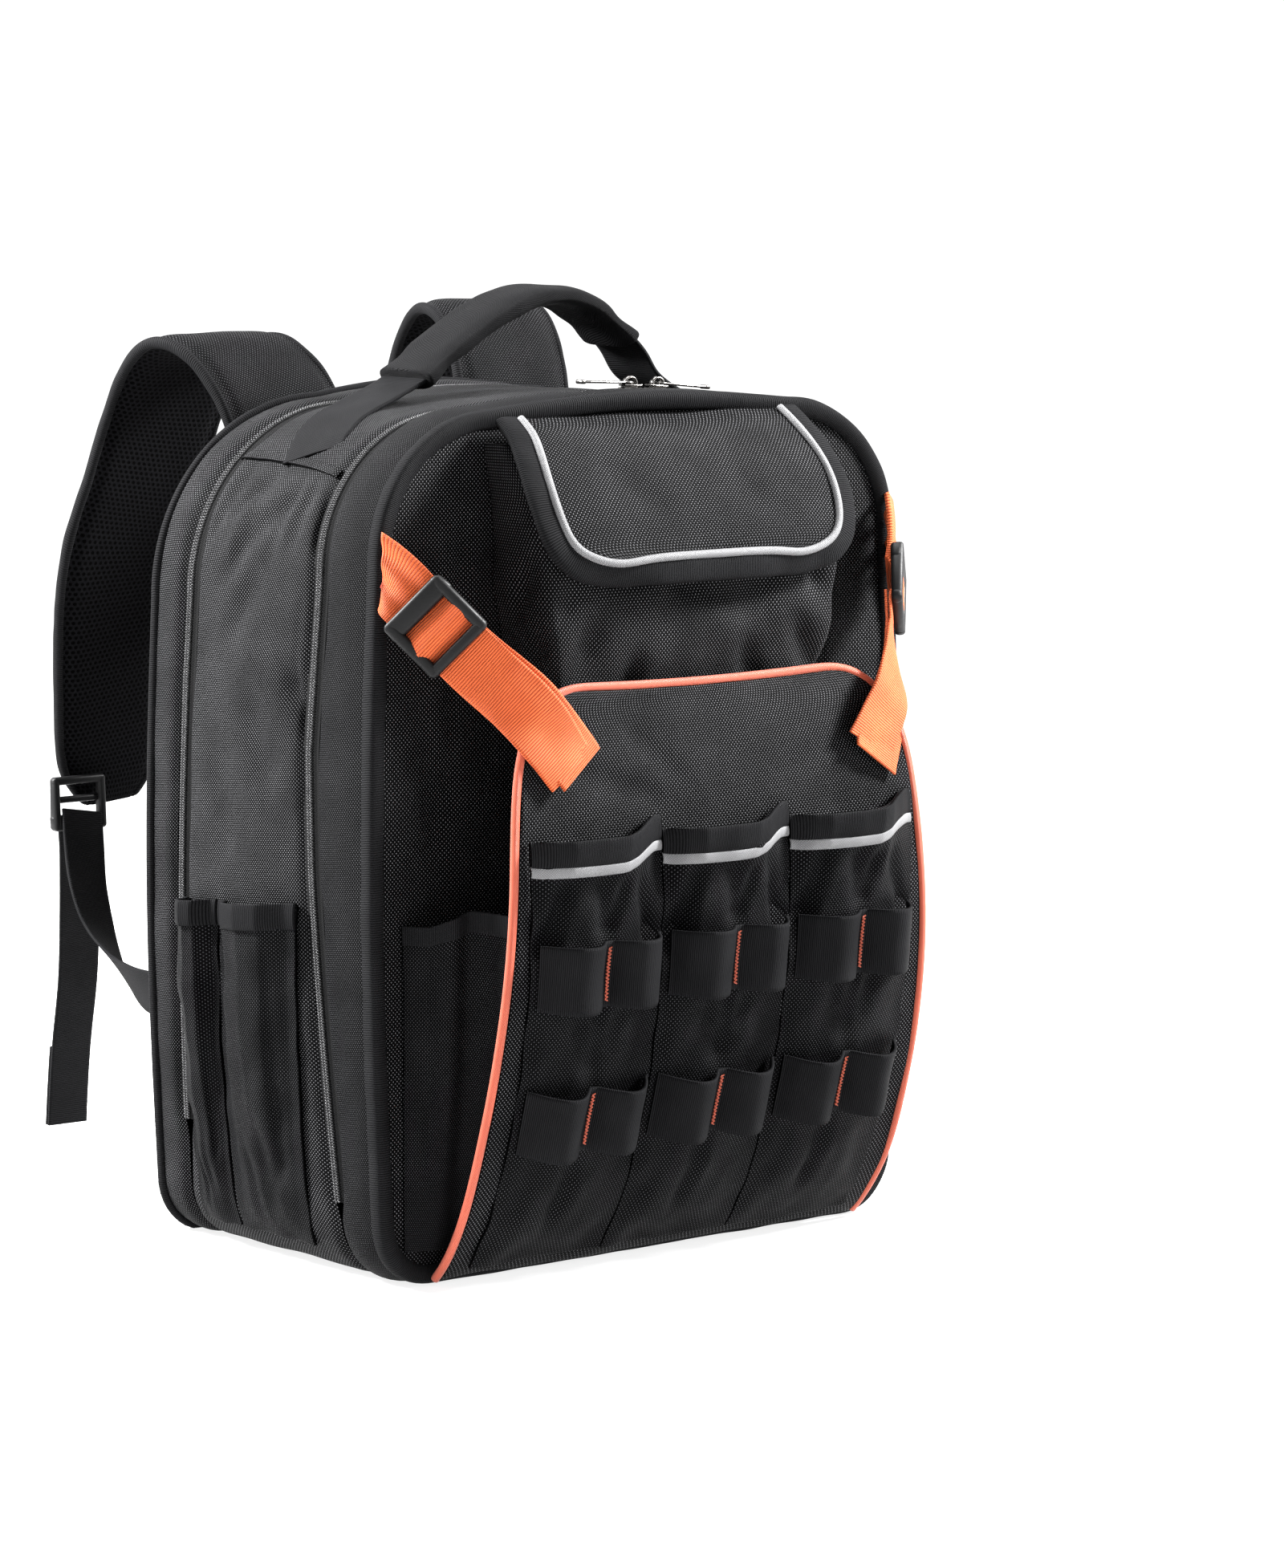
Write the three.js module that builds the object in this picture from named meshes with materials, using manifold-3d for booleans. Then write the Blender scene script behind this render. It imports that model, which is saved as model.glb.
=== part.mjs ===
// Tool backpack, standing on its base.
// Millimetres, +Z up, +X to the right seen from the front, front towards -Y.
// The origin is on the floor, in the middle of the base.
import * as THREE from 'three';
import { mergeVertices } from 'three/addons/utils/BufferGeometryUtils.js';
import Module from 'manifold-3d';

const wasm = await Module();
wasm.setup();

// Driving sizes of the bag
const BODY_WIDTH = 334;
const BODY_DEPTH = 196;
const BODY_HEIGHT = 432;
const SIDE_BULGE = 5;
const TOP_CROWN = 6;
const SHOULDER_RADIUS_FRONT = 70;
const SHOULDER_RADIUS_BACK = 100;
const FOOT_RADIUS = 30;
const FRONT_LIFT = 3.5;

// Cloth, padding and clearances
const CLOTH = 2;
const POCKET_CLOTH = 1.6;
const WEBBING = 1.5;
const BACK_PAD = 10;
const BACK_PAD_EDGE = 4;
const BACK_PAD_TUCK = 6;
const GAP = 0.3;

// Zips, binding and piping
const ZIP_WIDTH = 12;
const ZIP_TAPE = 1.6;
const ZIP_COIL_WIDTH = 4.4;
const ZIP_COIL_HEIGHT = 1.2;
const BINDING_PROUD = 2.6;
const BINDING_WIDTH = 9;
const BINDING_RETURN = 2;
const PANEL_CHAMFER = 4;
const PIPING_RADIUS = 2.2;
const REFLECTIVE_RADIUS = 1.6;
const FLAP_BINDING_WIDTH = 11;
const FLAP_BINDING_PROUD = 0.6;
const FLAP_BINDING_CLEAR = 0.5;
const REFLECTIVE_INSET = 3.5;

// Sliders and pull tabs on the front zip
const SLIDER_LENGTH = 11;
const SLIDER_WIDTH = 9;
const SLIDER_HEIGHT = 3;
const SLIDER_PLACES = [30, 48];
const BRIDGE_LENGTH = 8;
const BRIDGE_WIDTH = 3;
const BRIDGE_RISE = 3.4;
const BRIDGE_THICKNESS = 1.1;
const BRIDGE_SINK = 0.2;
const HINGE_RISE = 1;
const TAB_LENGTH = 34;
const TAB_SLOT = 9;
const TAB_WIDTH = 8;
const TAB_THICKNESS = 1.2;
const TAB_SLOT_PLAY = 0.4;
const TAB_NECK = 1.5;
const TAB_TAPER = 1;

// Straps and webbing
const HANDLE_WIDTH = 38;
const HANDLE_CENTRE_Y = 14;
const HANDLE_REACH = 88;
const HANDLE_RISE = 53;
const GRIP_CENTRE = 11.5;
const GRIP_HALF_LENGTH = 66;
const GRIP_THICKNESS = 10;
const GRIP_OVERHANG = 3;
const GRIP_CLEAR = 1;
const SHOULDER_STRAP_WIDTH = 75;
const SHOULDER_STRAP_THICKNESS = 11;
const SHOULDER_STRAP_SPREAD = 75;
const SHOULDER_STRAP_REACH = 152;
const SHOULDER_STRAP_DRIFT = 33;
const RIGHT_STRAP_RISE = 15;
const RIGHT_STRAP_DRIFT = 0.2;
const LOWER_ANCHOR_HEIGHT = 122;
const LOWER_ANCHOR_INSET = 9;
const STRAP_LOCK_DRIFT = 27;
const TAIL_DRIFT = 22;
const TAIL_SWING = 48;
const TAIL_DROP = 187;
const LOWER_WEBBING_WIDTH = 25;
const COMPRESSION_WIDTH = 32;
const LOCK_LENGTH = 38;
const LOCK_WIDTH = 42;
const LOCK_THICKNESS = 5;
const LOCK_BAR = 5;
const STRAP_LOCK_LENGTH = 30.4;
const STRAP_LOCK_WIDTH = 35;

// Top pocket and its flap
const TOP_POCKET_WIDTH = 200;
const TOP_POCKET_DEPTH = 43;
const FLAP_HALF_WIDTH = 94;
const FLAP_DROP = 71;
const FLAP_REACH = 53;
const FLAP_DROOP = 2.5;
const FLAP_TOP_SETBACK = 2;

// Outer pocket, tool pockets and loops
const BOARD_HEIGHT = 298;
const BOARD_HALF_WIDTH = 136;
const BOARD_LEAN = 61;
const GUSSET_FOOT = 19;
const GUSSET_TOP = 182;
const GUSSET_PLEAT_RISE = 8;
const GUSSET_TUCK = 5;
const GUSSET_HEM = 9;
const BOARD_THICKNESS = 2.5;
const POCKET_COUNT = 3;
const POCKET_PITCH = 83.2;
const MOUTH_BULGE = 20;
const MOUTH_HEM = 12;
const TRIM_SHEET = 1;
const TRIM_LIFT = 0.9;
const REFLECTIVE_HEIGHT = 5;
const LOOP_HEIGHT = 32;
const LOOP_DEPTH = 24;
const LOOP_ROWS = [['upper', 161.6], ['lower', 89]];
const LOOP_MARGIN = 3;
const LOOP_LIFT = 1.5;
const LOOP_ARCHES = [[0.06, 0.47], [0.53, 0.94]];
const LOOP_FULLNESS = 0.7;

// Side pockets: their front and rear edges, their mouths and how far they stand out
const SIDE_POCKET_FRONT = [-38, 24];
const SIDE_POCKET_REAR = [26.5, 58.5];
const SIDE_POCKET_TOP = 186;
const SIDE_POCKET_BULGE = 13;
const SIDE_HEM = 13;

const HALF_WIDTH = BODY_WIDTH / 2;
const FRONT_Y = -BODY_DEPTH / 2;
const BACK_Y = BODY_DEPTH / 2;
const ZIP_HALF = ZIP_WIDTH / 2;

// Finishes
const finish = (color, roughness, metalness = 0) =>
  new THREE.MeshStandardMaterial({ color, roughness, metalness });
const NYLON = finish(0x1c1c1e, 0.82);
const BLACK_WEBBING = finish(0x141415, 0.75);
const PADDED = finish(0x19191b, 0.9);
const ORANGE_WEBBING = finish(0xee7440, 0.7);
const ORANGE_PIPING = finish(0xe06a48, 0.65);
const REFLECTIVE = finish(0xa9abae, 0.45);
const ZIP_COIL = finish(0x0e0e0f, 0.5);
const PLASTIC = finish(0x0c0c0d, 0.4);
const DARK_METAL = finish(0x55555a, 0.35, 0.9);

const group = new THREE.Group();

// Small maths

const V = (x, y, z) => new THREE.Vector3(x, y, z);
const lerp = THREE.MathUtils.lerp;
const clamp = THREE.MathUtils.clamp;

// Reads a value from rows of [place, value, ...] by straight interpolation.
function readTable(rows, place, column = 1) {
  if (place <= rows[0][0]) return rows[0][column];
  for (let i = 1; i < rows.length; i++) {
    if (place <= rows[i][0]) {
      const share = (place - rows[i - 1][0]) / (rows[i][0] - rows[i - 1][0]);
      return lerp(rows[i - 1][column], rows[i][column], share);
    }
  }
  return rows[rows.length - 1][column];
}

// Turns points and triangles into a closed geometry whose faces point out.
function closedGeometry(points, triangles) {
  let volume = 0;
  for (const [a, b, c] of triangles) {
    volume += points[a].dot(V(0, 0, 0).crossVectors(points[b], points[c]));
  }
  const index = triangles.flatMap(([a, b, c]) => (volume < 0 ? [a, c, b] : [a, b, c]));
  const geometry = new THREE.BufferGeometry();
  geometry.setAttribute('position', new THREE.Float32BufferAttribute(points.flatMap((p) => p.toArray()), 3));
  geometry.setIndex(index);
  return geometry;
}

// Joins rings of equal count, one after another, into one closed body.
// A looped row of rings closes on itself, and any other row is capped at both ends.
function ringBody(rings, looped = false) {
  const count = rings[0].length;
  const points = rings.flat();
  const triangles = [];
  const steps = looped ? rings.length : rings.length - 1;
  for (let r = 0; r < steps; r++) {
    const here = r * count;
    const next = ((r + 1) % rings.length) * count;
    for (let i = 0; i < count; i++) {
      const j = (i + 1) % count;
      triangles.push([here + i, here + j, next + j], [here + i, next + j, next + i]);
    }
  }
  if (!looped) {
    const addCap = (start, turned) => {
      const middle = V(0, 0, 0);
      for (let i = 0; i < count; i++) middle.add(points[start + i]);
      points.push(middle.divideScalar(count));
      const centre = points.length - 1;
      for (let i = 0; i < count; i++) {
        const j = (i + 1) % count;
        triangles.push(turned ? [centre, start + i, start + j] : [centre, start + j, start + i]);
      }
    };
    addCap(0, false);
    addCap((rings.length - 1) * count, true);
  }
  return closedGeometry(points, triangles);
}

// Unit normal of a grid of points at each of its points.
function gridNormals(rows) {
  const at = (r, c) => rows[clamp(r, 0, rows.length - 1)][clamp(c, 0, rows[0].length - 1)];
  return rows.map((row, r) => row.map((_, c) => {
    const along = at(r, c + 1).clone().sub(at(r, c - 1));
    const across = at(r + 1, c).clone().sub(at(r - 1, c));
    return along.cross(across).normalize();
  }));
}

// A grid pushed along its normals.
function offsetGrid(rows, distance) {
  const normals = gridNormals(rows);
  return rows.map((row, r) => row.map((p, c) => p.clone().addScaledVector(normals[r][c], distance)));
}

// A sheet of cloth: the grid is one face, and the other lies one thickness along its normals.
function sheet(rows, thickness) {
  const other = offsetGrid(rows, thickness);
  const height = rows.length;
  const width = rows[0].length;
  const points = [...rows.flat(), ...other.flat()];
  const shift = height * width;
  const at = (r, c) => r * width + c;
  const triangles = [];
  const quad = (a, b, c, d) => triangles.push([a, b, c], [a, c, d]);
  for (let r = 0; r < height - 1; r++) {
    for (let c = 0; c < width - 1; c++) {
      quad(at(r, c), at(r + 1, c), at(r + 1, c + 1), at(r, c + 1));
      quad(shift + at(r, c), shift + at(r, c + 1), shift + at(r + 1, c + 1), shift + at(r + 1, c));
    }
  }
  for (let c = 0; c < width - 1; c++) {
    quad(at(0, c), at(0, c + 1), shift + at(0, c + 1), shift + at(0, c));
    quad(at(height - 1, c + 1), at(height - 1, c), shift + at(height - 1, c), shift + at(height - 1, c + 1));
  }
  for (let r = 0; r < height - 1; r++) {
    quad(at(r + 1, 0), at(r, 0), shift + at(r, 0), shift + at(r + 1, 0));
    quad(at(r, width - 1), at(r + 1, width - 1), shift + at(r + 1, width - 1), shift + at(r, width - 1));
  }
  return closedGeometry(points, triangles);
}

// Places a flat section, rows of [across, out], on each frame of a path.
function sweep(frames, section, looped = false) {
  const rings = frames.map(({ at, across, out }) =>
    section.map(([a, o]) => at.clone().addScaledVector(across, a).addScaledVector(out, o)));
  return ringBody(rings, looped);
}

// A round section for piping.
const roundSection = (radius, sides = 6) => Array.from({ length: sides }, (_, i) => {
  const angle = (2 * Math.PI * i) / sides;
  return [radius * Math.cos(angle), radius * Math.sin(angle)];
});

// A flat section with rounded edges for padded straps.
const paddedSection = (width, thickness, corner = thickness * 0.35) => [
  [-width / 2, -thickness / 2 + corner], [-width / 2 + corner, -thickness / 2],
  [width / 2 - corner, -thickness / 2], [width / 2, -thickness / 2 + corner],
  [width / 2, thickness / 2 - corner], [width / 2 - corner, thickness / 2],
  [-width / 2 + corner, thickness / 2], [-width / 2, thickness / 2 - corner],
];

const flatSection = (width, thickness) => [
  [-width / 2, 0], [width / 2, 0], [width / 2, thickness], [-width / 2, thickness],
];

// Smooth curve through hand-chosen points, read at equal steps.
function smoothPath(points, steps) {
  const curve = new THREE.CatmullRomCurve3(points, false, 'centripetal');
  return curve.getSpacedPoints(steps);
}

// Frames along a path, each with the direction across it and the direction out of its face.
function pathFrames(points, acrossAt) {
  return points.map((at, i) => {
    const ahead = points[Math.min(i + 1, points.length - 1)];
    const behind = points[Math.max(i - 1, 0)];
    const along = ahead.clone().sub(behind).normalize();
    const wanted = acrossAt(i / (points.length - 1));
    const across = wanted.clone().addScaledVector(along, -wanted.dot(along)).normalize();
    const out = across.clone().cross(along).normalize();
    return { at, across, out, along };
  });
}

function add(name, geometry, material) {
  const mesh = new THREE.Mesh(geometry, material);
  mesh.name = name;
  group.add(mesh);
  return mesh;
}

// Manifold booleans, for the moulded and cast pieces

function toManifold(geometry) {
  const bare = geometry.clone();
  bare.deleteAttribute('normal');
  bare.deleteAttribute('uv');
  const merged = mergeVertices(bare, 1e-4);
  return new wasm.Manifold(new wasm.Mesh({
    numProp: 3,
    vertProperties: new Float32Array(merged.attributes.position.array),
    triVerts: new Uint32Array(merged.index.array),
  }));
}

function toGeometry(solid) {
  const mesh = solid.getMesh();
  const geometry = new THREE.BufferGeometry();
  geometry.setAttribute('position', new THREE.BufferAttribute(new Float32Array(mesh.vertProperties), 3));
  geometry.setIndex(Array.from(mesh.triVerts));
  return geometry;
}

// Stations round the body outline, from the middle of the base up one side to the middle of the top.
// Each row is the stretch of the outline and the share of that stretch.
const SIDE_SHARES = [0.03, 0.11, 0.28, 0.45, 0.62, 0.8, 1];
const SHOULDER_STEPS = 7;
const HALF_STATIONS = [
  ...[0, 0.5, 1].map((share) => ['base', share]),
  ...[1 / 3, 2 / 3, 1].map((share) => ['foot', share]),
  ...SIDE_SHARES.map((share) => ['side', share]),
  ...Array.from({ length: SHOULDER_STEPS }, (_, i) => ['shoulder', (i + 1) / SHOULDER_STEPS]),
  ...[0.5, 1].map((share) => ['top', share]),
];
const LAST = HALF_STATIONS.length - 1;
const STATIONS = [
  ...HALF_STATIONS.map((_, i) => [i, 1]),
  ...HALF_STATIONS.slice(1, LAST).map((_, i) => [LAST - 1 - i, -1]),
];
const FIRST_FOOT = HALF_STATIONS.findIndex(([stretch]) => stretch === 'foot') + 1;
const FIRST_SIDE = HALF_STATIONS.findIndex(([stretch]) => stretch === 'side');
const FIRST_SHOULDER = HALF_STATIONS.findIndex(([stretch]) => stretch === 'shoulder');
const FRONT_ZIP_START = FIRST_SIDE;
const REAR_ZIP_START = FIRST_SIDE + 1;

// Point of the body's outline at a station and a depth, moved inwards by inset.
function outlinePoint(half, sign, y, inset) {
  const depthShare = clamp((y - FRONT_Y) / BODY_DEPTH, 0, 1);
  const radius = lerp(SHOULDER_RADIUS_FRONT, SHOULDER_RADIUS_BACK, depthShare);
  const base = FRONT_LIFT * clamp((FRONT_Y * 0.6 - y) / (-FRONT_Y * 0.4), 0, 1);
  const [stretch, share] = HALF_STATIONS[half];
  const sideLow = base + FOOT_RADIUS;
  const sideHigh = BODY_HEIGHT - radius;
  let x = 0;
  let z = 0;
  if (stretch === 'base') {
    x = share * (HALF_WIDTH - FOOT_RADIUS);
    z = base + inset;
  } else if (stretch === 'foot') {
    const angle = (share * Math.PI) / 2;
    x = HALF_WIDTH - FOOT_RADIUS + (FOOT_RADIUS - inset) * Math.sin(angle);
    z = sideLow - (FOOT_RADIUS - inset) * Math.cos(angle);
  } else if (stretch === 'side') {
    x = HALF_WIDTH - inset + SIDE_BULGE * Math.sin(Math.PI * share);
    z = lerp(sideLow, sideHigh, share);
  } else if (stretch === 'shoulder') {
    const angle = (share * Math.PI) / 2;
    x = HALF_WIDTH - radius + (radius - inset) * Math.cos(angle);
    z = sideHigh + (radius - inset) * Math.sin(angle);
  } else {
    x = (1 - share) * (HALF_WIDTH - radius);
    z = BODY_HEIGHT - inset + TOP_CROWN * Math.sin((share * Math.PI) / 2);
  }
  return V(sign * x, y, z);
}

// Depth of the zip seams by height: [share of body height, share of half depth].
const FRONT_SEAM = [[0, -0.65], [0.28, -0.54], [0.46, -0.47], [0.6, -0.44], [0.78, -0.49], [1, -0.51]];
const REAR_SEAM = [[0, 0.72], [0.7, 0.67], [1, 0.63]];

// Where a zip seam crosses a station: the seam depends on the height, so it is read at a middle depth.
function seamDepth(seam, half) {
  const height = outlinePoint(half, 1, 0, 0).z;
  return readTable(seam, height / BODY_HEIGHT) * (BODY_DEPTH / 2);
}

// The cloth edge beside a zip: half the zip away from the seam, and closed to a slit below the zip's end.
function rimDepth(seam, start, half, side) {
  const clear = half >= start ? ZIP_HALF + GAP : GAP / 2;
  return seamDepth(seam, half) + side * clear;
}

// One ring round the body; depth and inset may be numbers or functions of the station.
function bodyRing(depth, inset) {
  return STATIONS.map(([half, sign]) => outlinePoint(half, sign,
    typeof depth === 'function' ? depth(half) : depth, inset));
}

const frontRim = (side) => (half) => rimDepth(FRONT_SEAM, FRONT_ZIP_START, half, side);
const rearRim = (side) => (half) => rimDepth(REAR_SEAM, REAR_ZIP_START, half, side);

// Back panel: a firm padded slab with rounded edges
const backPanelFront = BACK_Y - BACK_PAD;
add('back_panel', ringBody([
  bodyRing(backPanelFront, BACK_PAD_TUCK),
  bodyRing(backPanelFront, 0),
  bodyRing(BACK_Y - BACK_PAD_EDGE, 0),
  bodyRing(BACK_Y, BACK_PAD_EDGE),
]), PADDED);

// Rear gusset: the wall round the laptop compartment
add('rear_gusset', ringBody([
  bodyRing(rearRim(1), 0),
  bodyRing(backPanelFront - GAP, 0),
  bodyRing(backPanelFront - GAP, CLOTH),
  bodyRing(rearRim(1), CLOTH),
], true), NYLON);

// Main shell: a tub that opens to the front, with the divider at its back
const dividerY = seamDepth(REAR_SEAM, LAST) - ZIP_HALF - CLOTH;
add('main_shell', ringBody([
  bodyRing(dividerY, CLOTH),
  bodyRing(rearRim(-1), CLOTH),
  bodyRing(rearRim(-1), 0),
  bodyRing(frontRim(1), 0),
  bodyRing(frontRim(1), CLOTH),
  bodyRing(dividerY - CLOTH, CLOTH),
]), NYLON);

// Front shell: the door's gusset and its flat panel
add('front_shell', ringBody([
  bodyRing(FRONT_Y + CLOTH, PANEL_CHAMFER + CLOTH / 2),
  bodyRing(FRONT_Y + PANEL_CHAMFER + CLOTH / 2, CLOTH),
  bodyRing(frontRim(-1), CLOTH),
  bodyRing(frontRim(-1), 0),
  bodyRing(FRONT_Y + PANEL_CHAMFER, 0),
  bodyRing(FRONT_Y, PANEL_CHAMFER),
]), NYLON);

// Binding round the front panel, an L that wraps the edge of the door
add('front_binding', ringBody([
  bodyRing(FRONT_Y + PANEL_CHAMFER - GAP, -GAP),
  bodyRing(FRONT_Y + PANEL_CHAMFER + BINDING_RETURN, -GAP),
  bodyRing(FRONT_Y + PANEL_CHAMFER + BINDING_RETURN, -BINDING_PROUD),
  bodyRing(FRONT_Y - BINDING_PROUD, -BINDING_PROUD),
  bodyRing(FRONT_Y - BINDING_PROUD, BINDING_WIDTH - BINDING_PROUD),
  bodyRing(FRONT_Y - GAP, BINDING_WIDTH - BINDING_PROUD),
  bodyRing(FRONT_Y - GAP, PANEL_CHAMFER),
], true), BLACK_WEBBING);

// Zips: tape with a coil ridge, from low on one side over the top to low on the other
function zipGeometry(seam, start) {
  const stations = STATIONS.filter(([half]) => half >= start);
  const section = [
    [-ZIP_HALF, ZIP_TAPE], [ZIP_HALF, ZIP_TAPE], [ZIP_HALF, 0],
    [ZIP_COIL_WIDTH / 2, -ZIP_COIL_HEIGHT], [-ZIP_COIL_WIDTH / 2, -ZIP_COIL_HEIGHT], [-ZIP_HALF, 0],
  ];
  return ringBody(stations.map(([half, sign]) => {
    const seamY = seamDepth(seam, half);
    return section.map(([across, inset]) => outlinePoint(half, sign, seamY + across, inset));
  }));
}
add('rear_zip', zipGeometry(REAR_SEAM, REAR_ZIP_START), ZIP_COIL);
add('front_zip', zipGeometry(FRONT_SEAM, FRONT_ZIP_START), ZIP_COIL);

// Mirrored copies keep the same shape on the other side of the bag.
const mirrorPoint = (p) => V(-p.x, p.y, p.z);
const mirrorGrid = (rows) => rows.map((row) => row.map(mirrorPoint).reverse());
const mirrorFrames = (frames) => frames.map((f) => ({
  ...f, at: mirrorPoint(f.at), across: mirrorPoint(f.across), out: mirrorPoint(f.out), along: mirrorPoint(f.along),
}));

// Rows between the last two rows of a grid, at the given shares from the lower to the upper one.
function topRows(rows, shares) {
  const lower = rows[rows.length - 2];
  const upper = rows[rows.length - 1];
  return shares.map((share) => lower.map((p, c) => p.clone().lerp(upper[c], share)));
}

// Mirrors a list of [share, value] about the middle: the first half is given, from the edge inwards.
const bothHalves = (half) => [
  ...half.map(([share, value]) => [-share, value]),
  ...half.slice(0, -1).reverse(),
];

// Top pocket: a pouch on the upper front panel, open at its top edge under the flap.
// Rows: [share of body height, share of pocket depth]. Columns: [share of half width, share of depth].
const TOP_POCKET_ROWS = [
  [0.53, 0.05], [0.58, 0.55], [0.64, 0.82], [0.69, 0.91], [0.76, 1], [0.845, 1], [0.89, 0.85], [0.93, 0.6],
];
const TOP_POCKET_COLUMNS = bothHalves([[1, 0], [1, 0.5], [0.97, 0.9], [0.88, 1], [0.45, 1.02], [0, 1.03]]);
add('top_pocket', sheet(TOP_POCKET_ROWS.map(([rise, depth]) => TOP_POCKET_COLUMNS.map(([side, out]) =>
  V(side * TOP_POCKET_WIDTH / 2, FRONT_Y - GAP - depth * out * TOP_POCKET_DEPTH, rise * BODY_HEIGHT))),
POCKET_CLOTH), NYLON);

// Flap: rows from its lower edge up, [share of its drop, share of its reach, share of its half width].
const FLAP_ROWS = [
  [1, 1, 0.62], [0.94, 0.99, 0.83], [0.86, 0.96, 0.94], [0.7, 0.89, 0.985],
  [0.45, 0.72, 1], [0.24, 0.5, 0.97], [0.07, 0.25, 0.93], [0, 0.062, 0.93],
];
const FLAP_COLUMNS = bothHalves([[1, 1], [0.8, 0.25], [0.45, 0], [0, 0]]);
const flapGrid = FLAP_ROWS.map(([drop, reach, width]) => FLAP_COLUMNS.map(([side, droop]) =>
  V(side * width * FLAP_HALF_WIDTH, FRONT_Y - reach * FLAP_REACH + droop * FLAP_DROOP * reach,
    BODY_HEIGHT - FLAP_TOP_SETBACK - drop * FLAP_DROP - droop * FLAP_DROOP * reach)));
add('top_flap', sheet(flapGrid, CLOTH), NYLON);

// Frames along the rim of a grid: down the left edge, along the lower edge and up the right edge,
// or the other way round over the top edge.
function rimFrames(grid, overTop) {
  const normals = gridNormals(grid);
  const last = grid.length - 1;
  const width = grid[0].length;
  const rowOrder = grid.map((_, r) => (overTop ? r : last - r));
  const turnRow = overTop ? last : 0;
  const places = [
    ...rowOrder.map((r) => [r, 0]),
    ...grid[0].slice(1, -1).map((_, c) => [turnRow, c + 1]),
    ...rowOrder.slice().reverse().map((r) => [r, width - 1]),
  ];
  return places.map(([r, c], i) => {
    const [aheadRow, aheadColumn] = places[Math.min(i + 1, places.length - 1)];
    const [behindRow, behindColumn] = places[Math.max(i - 1, 0)];
    const along = grid[aheadRow][aheadColumn].clone().sub(grid[behindRow][behindColumn]).normalize();
    const out = normals[r][c];
    const across = along.clone().cross(out).normalize().multiplyScalar(overTop ? -1 : 1);
    return { at: grid[r][c], across, out, along };
  });
}
const flapRim = rimFrames(flapGrid, false);
add('flap_binding', sweep(flapRim, [
  [FLAP_BINDING_CLEAR, -FLAP_BINDING_PROUD], [FLAP_BINDING_WIDTH, -FLAP_BINDING_PROUD],
  [FLAP_BINDING_WIDTH, CLOTH + FLAP_BINDING_PROUD], [FLAP_BINDING_CLEAR, CLOTH + FLAP_BINDING_PROUD],
]), BLACK_WEBBING);
add('flap_piping', sweep(flapRim, roundSection(REFLECTIVE_RADIUS).map(([across, out]) =>
  [across - REFLECTIVE_INSET, out + CLOTH + REFLECTIVE_RADIUS + 2 * GAP])), REFLECTIVE);

// Tool board: the outer wall of the big outer pocket, leaning out from the foot of the door.
// Rows: [share of board height, share of lean, share of half width].
const BOARD_ROWS = [
  [0.012, 0.05, 1], [0.035, 0.17, 1], [0.135, 0.48, 1.01], [0.3, 0.76, 1.005], [0.42, 0.9, 0.995],
  [0.543, 0.985, 0.98], [0.67, 1, 0.96], [0.78, 0.96, 0.94], [0.88, 0.905, 0.905],
  [0.955, 0.83, 0.824], [1, 0.77, 0.647],
];
const BOARD_COLUMNS = [-1, -0.5, 0, 0.5, 1];
const boardGrid = BOARD_ROWS.map(([rise, lean, width]) => BOARD_COLUMNS.map((side) =>
  V(side * width * BOARD_HALF_WIDTH, FRONT_Y - lean * BOARD_LEAN, rise * BOARD_HEIGHT)));
add('tool_board', sheet(boardGrid, BOARD_THICKNESS), NYLON);
add('board_piping', sweep(rimFrames(boardGrid, true), roundSection(PIPING_RADIUS).map(([across, out]) =>
  [across + PIPING_RADIUS + GAP, out + BOARD_THICKNESS / 2])), ORANGE_PIPING);

// A point in front of the board: x, a height, and how far it stands off the board's outer face.
const boardNormals = gridNormals(boardGrid).map((row) => row[0]);
function offBoard(x, height, lift) {
  const rows = boardGrid.map((row, r) => {
    const p = row[0].clone().addScaledVector(boardNormals[r], BOARD_THICKNESS + lift);
    return [row[0].z, p.y, p.z];
  });
  return V(x, readTable(rows, height, 1), readTable(rows, height, 2));
}

// Three tall pockets on the board, gathered at their seams and bulging at their mouths.
// Bulges: share of the mouth's bulge on each row of the board from its second up.
// Columns: [share of pitch, share of bulge].
const TOOL_POCKET_BULGES = [0, 0.3, 0.25, 0.35, 0.3, 0.6, 1];
const TOOL_POCKET_COLUMNS = [
  [0.006, 0], [0.045, 0], [0.11, 0.45], [0.22, 0.92], [0.5, 1], [0.78, 0.92], [0.89, 0.45], [0.955, 0], [0.994, 0],
];
const pocketHeights = TOOL_POCKET_BULGES.map((_, row) => boardGrid[row + 1][0].z);
const pocketBulge = (height, share) => MOUTH_BULGE
  * readTable(TOOL_POCKET_BULGES.map((bulge, row) => [pocketHeights[row], bulge]), height)
  * readTable(TOOL_POCKET_COLUMNS, share);
for (let i = 0; i < POCKET_COUNT; i++) {
  const left = (i - POCKET_COUNT / 2) * POCKET_PITCH;
  const grid = pocketHeights.map((height) => TOOL_POCKET_COLUMNS.map(([share]) =>
    offBoard(left + share * POCKET_PITCH, height, GAP + pocketBulge(height, share))));
  add(`board_pocket_${i + 1}`, sheet(grid, POCKET_CLOTH), NYLON);
  const face = offsetGrid(grid, POCKET_CLOTH + TRIM_LIFT);
  const span = grid[grid.length - 1][0].z - grid[grid.length - 2][0].z;
  const hem = 1 - MOUTH_HEM / span;
  const stripTop = hem - TRIM_SHEET / span;
  add(`mouth_binding_${i + 1}`, sheet(topRows(face, [hem, 1]), WEBBING), BLACK_WEBBING);
  add(`reflective_strip_${i + 1}`, sheet(topRows(face, [stripTop - REFLECTIVE_HEIGHT / span, stripTop]), TRIM_SHEET),
    REFLECTIVE);
}

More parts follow.
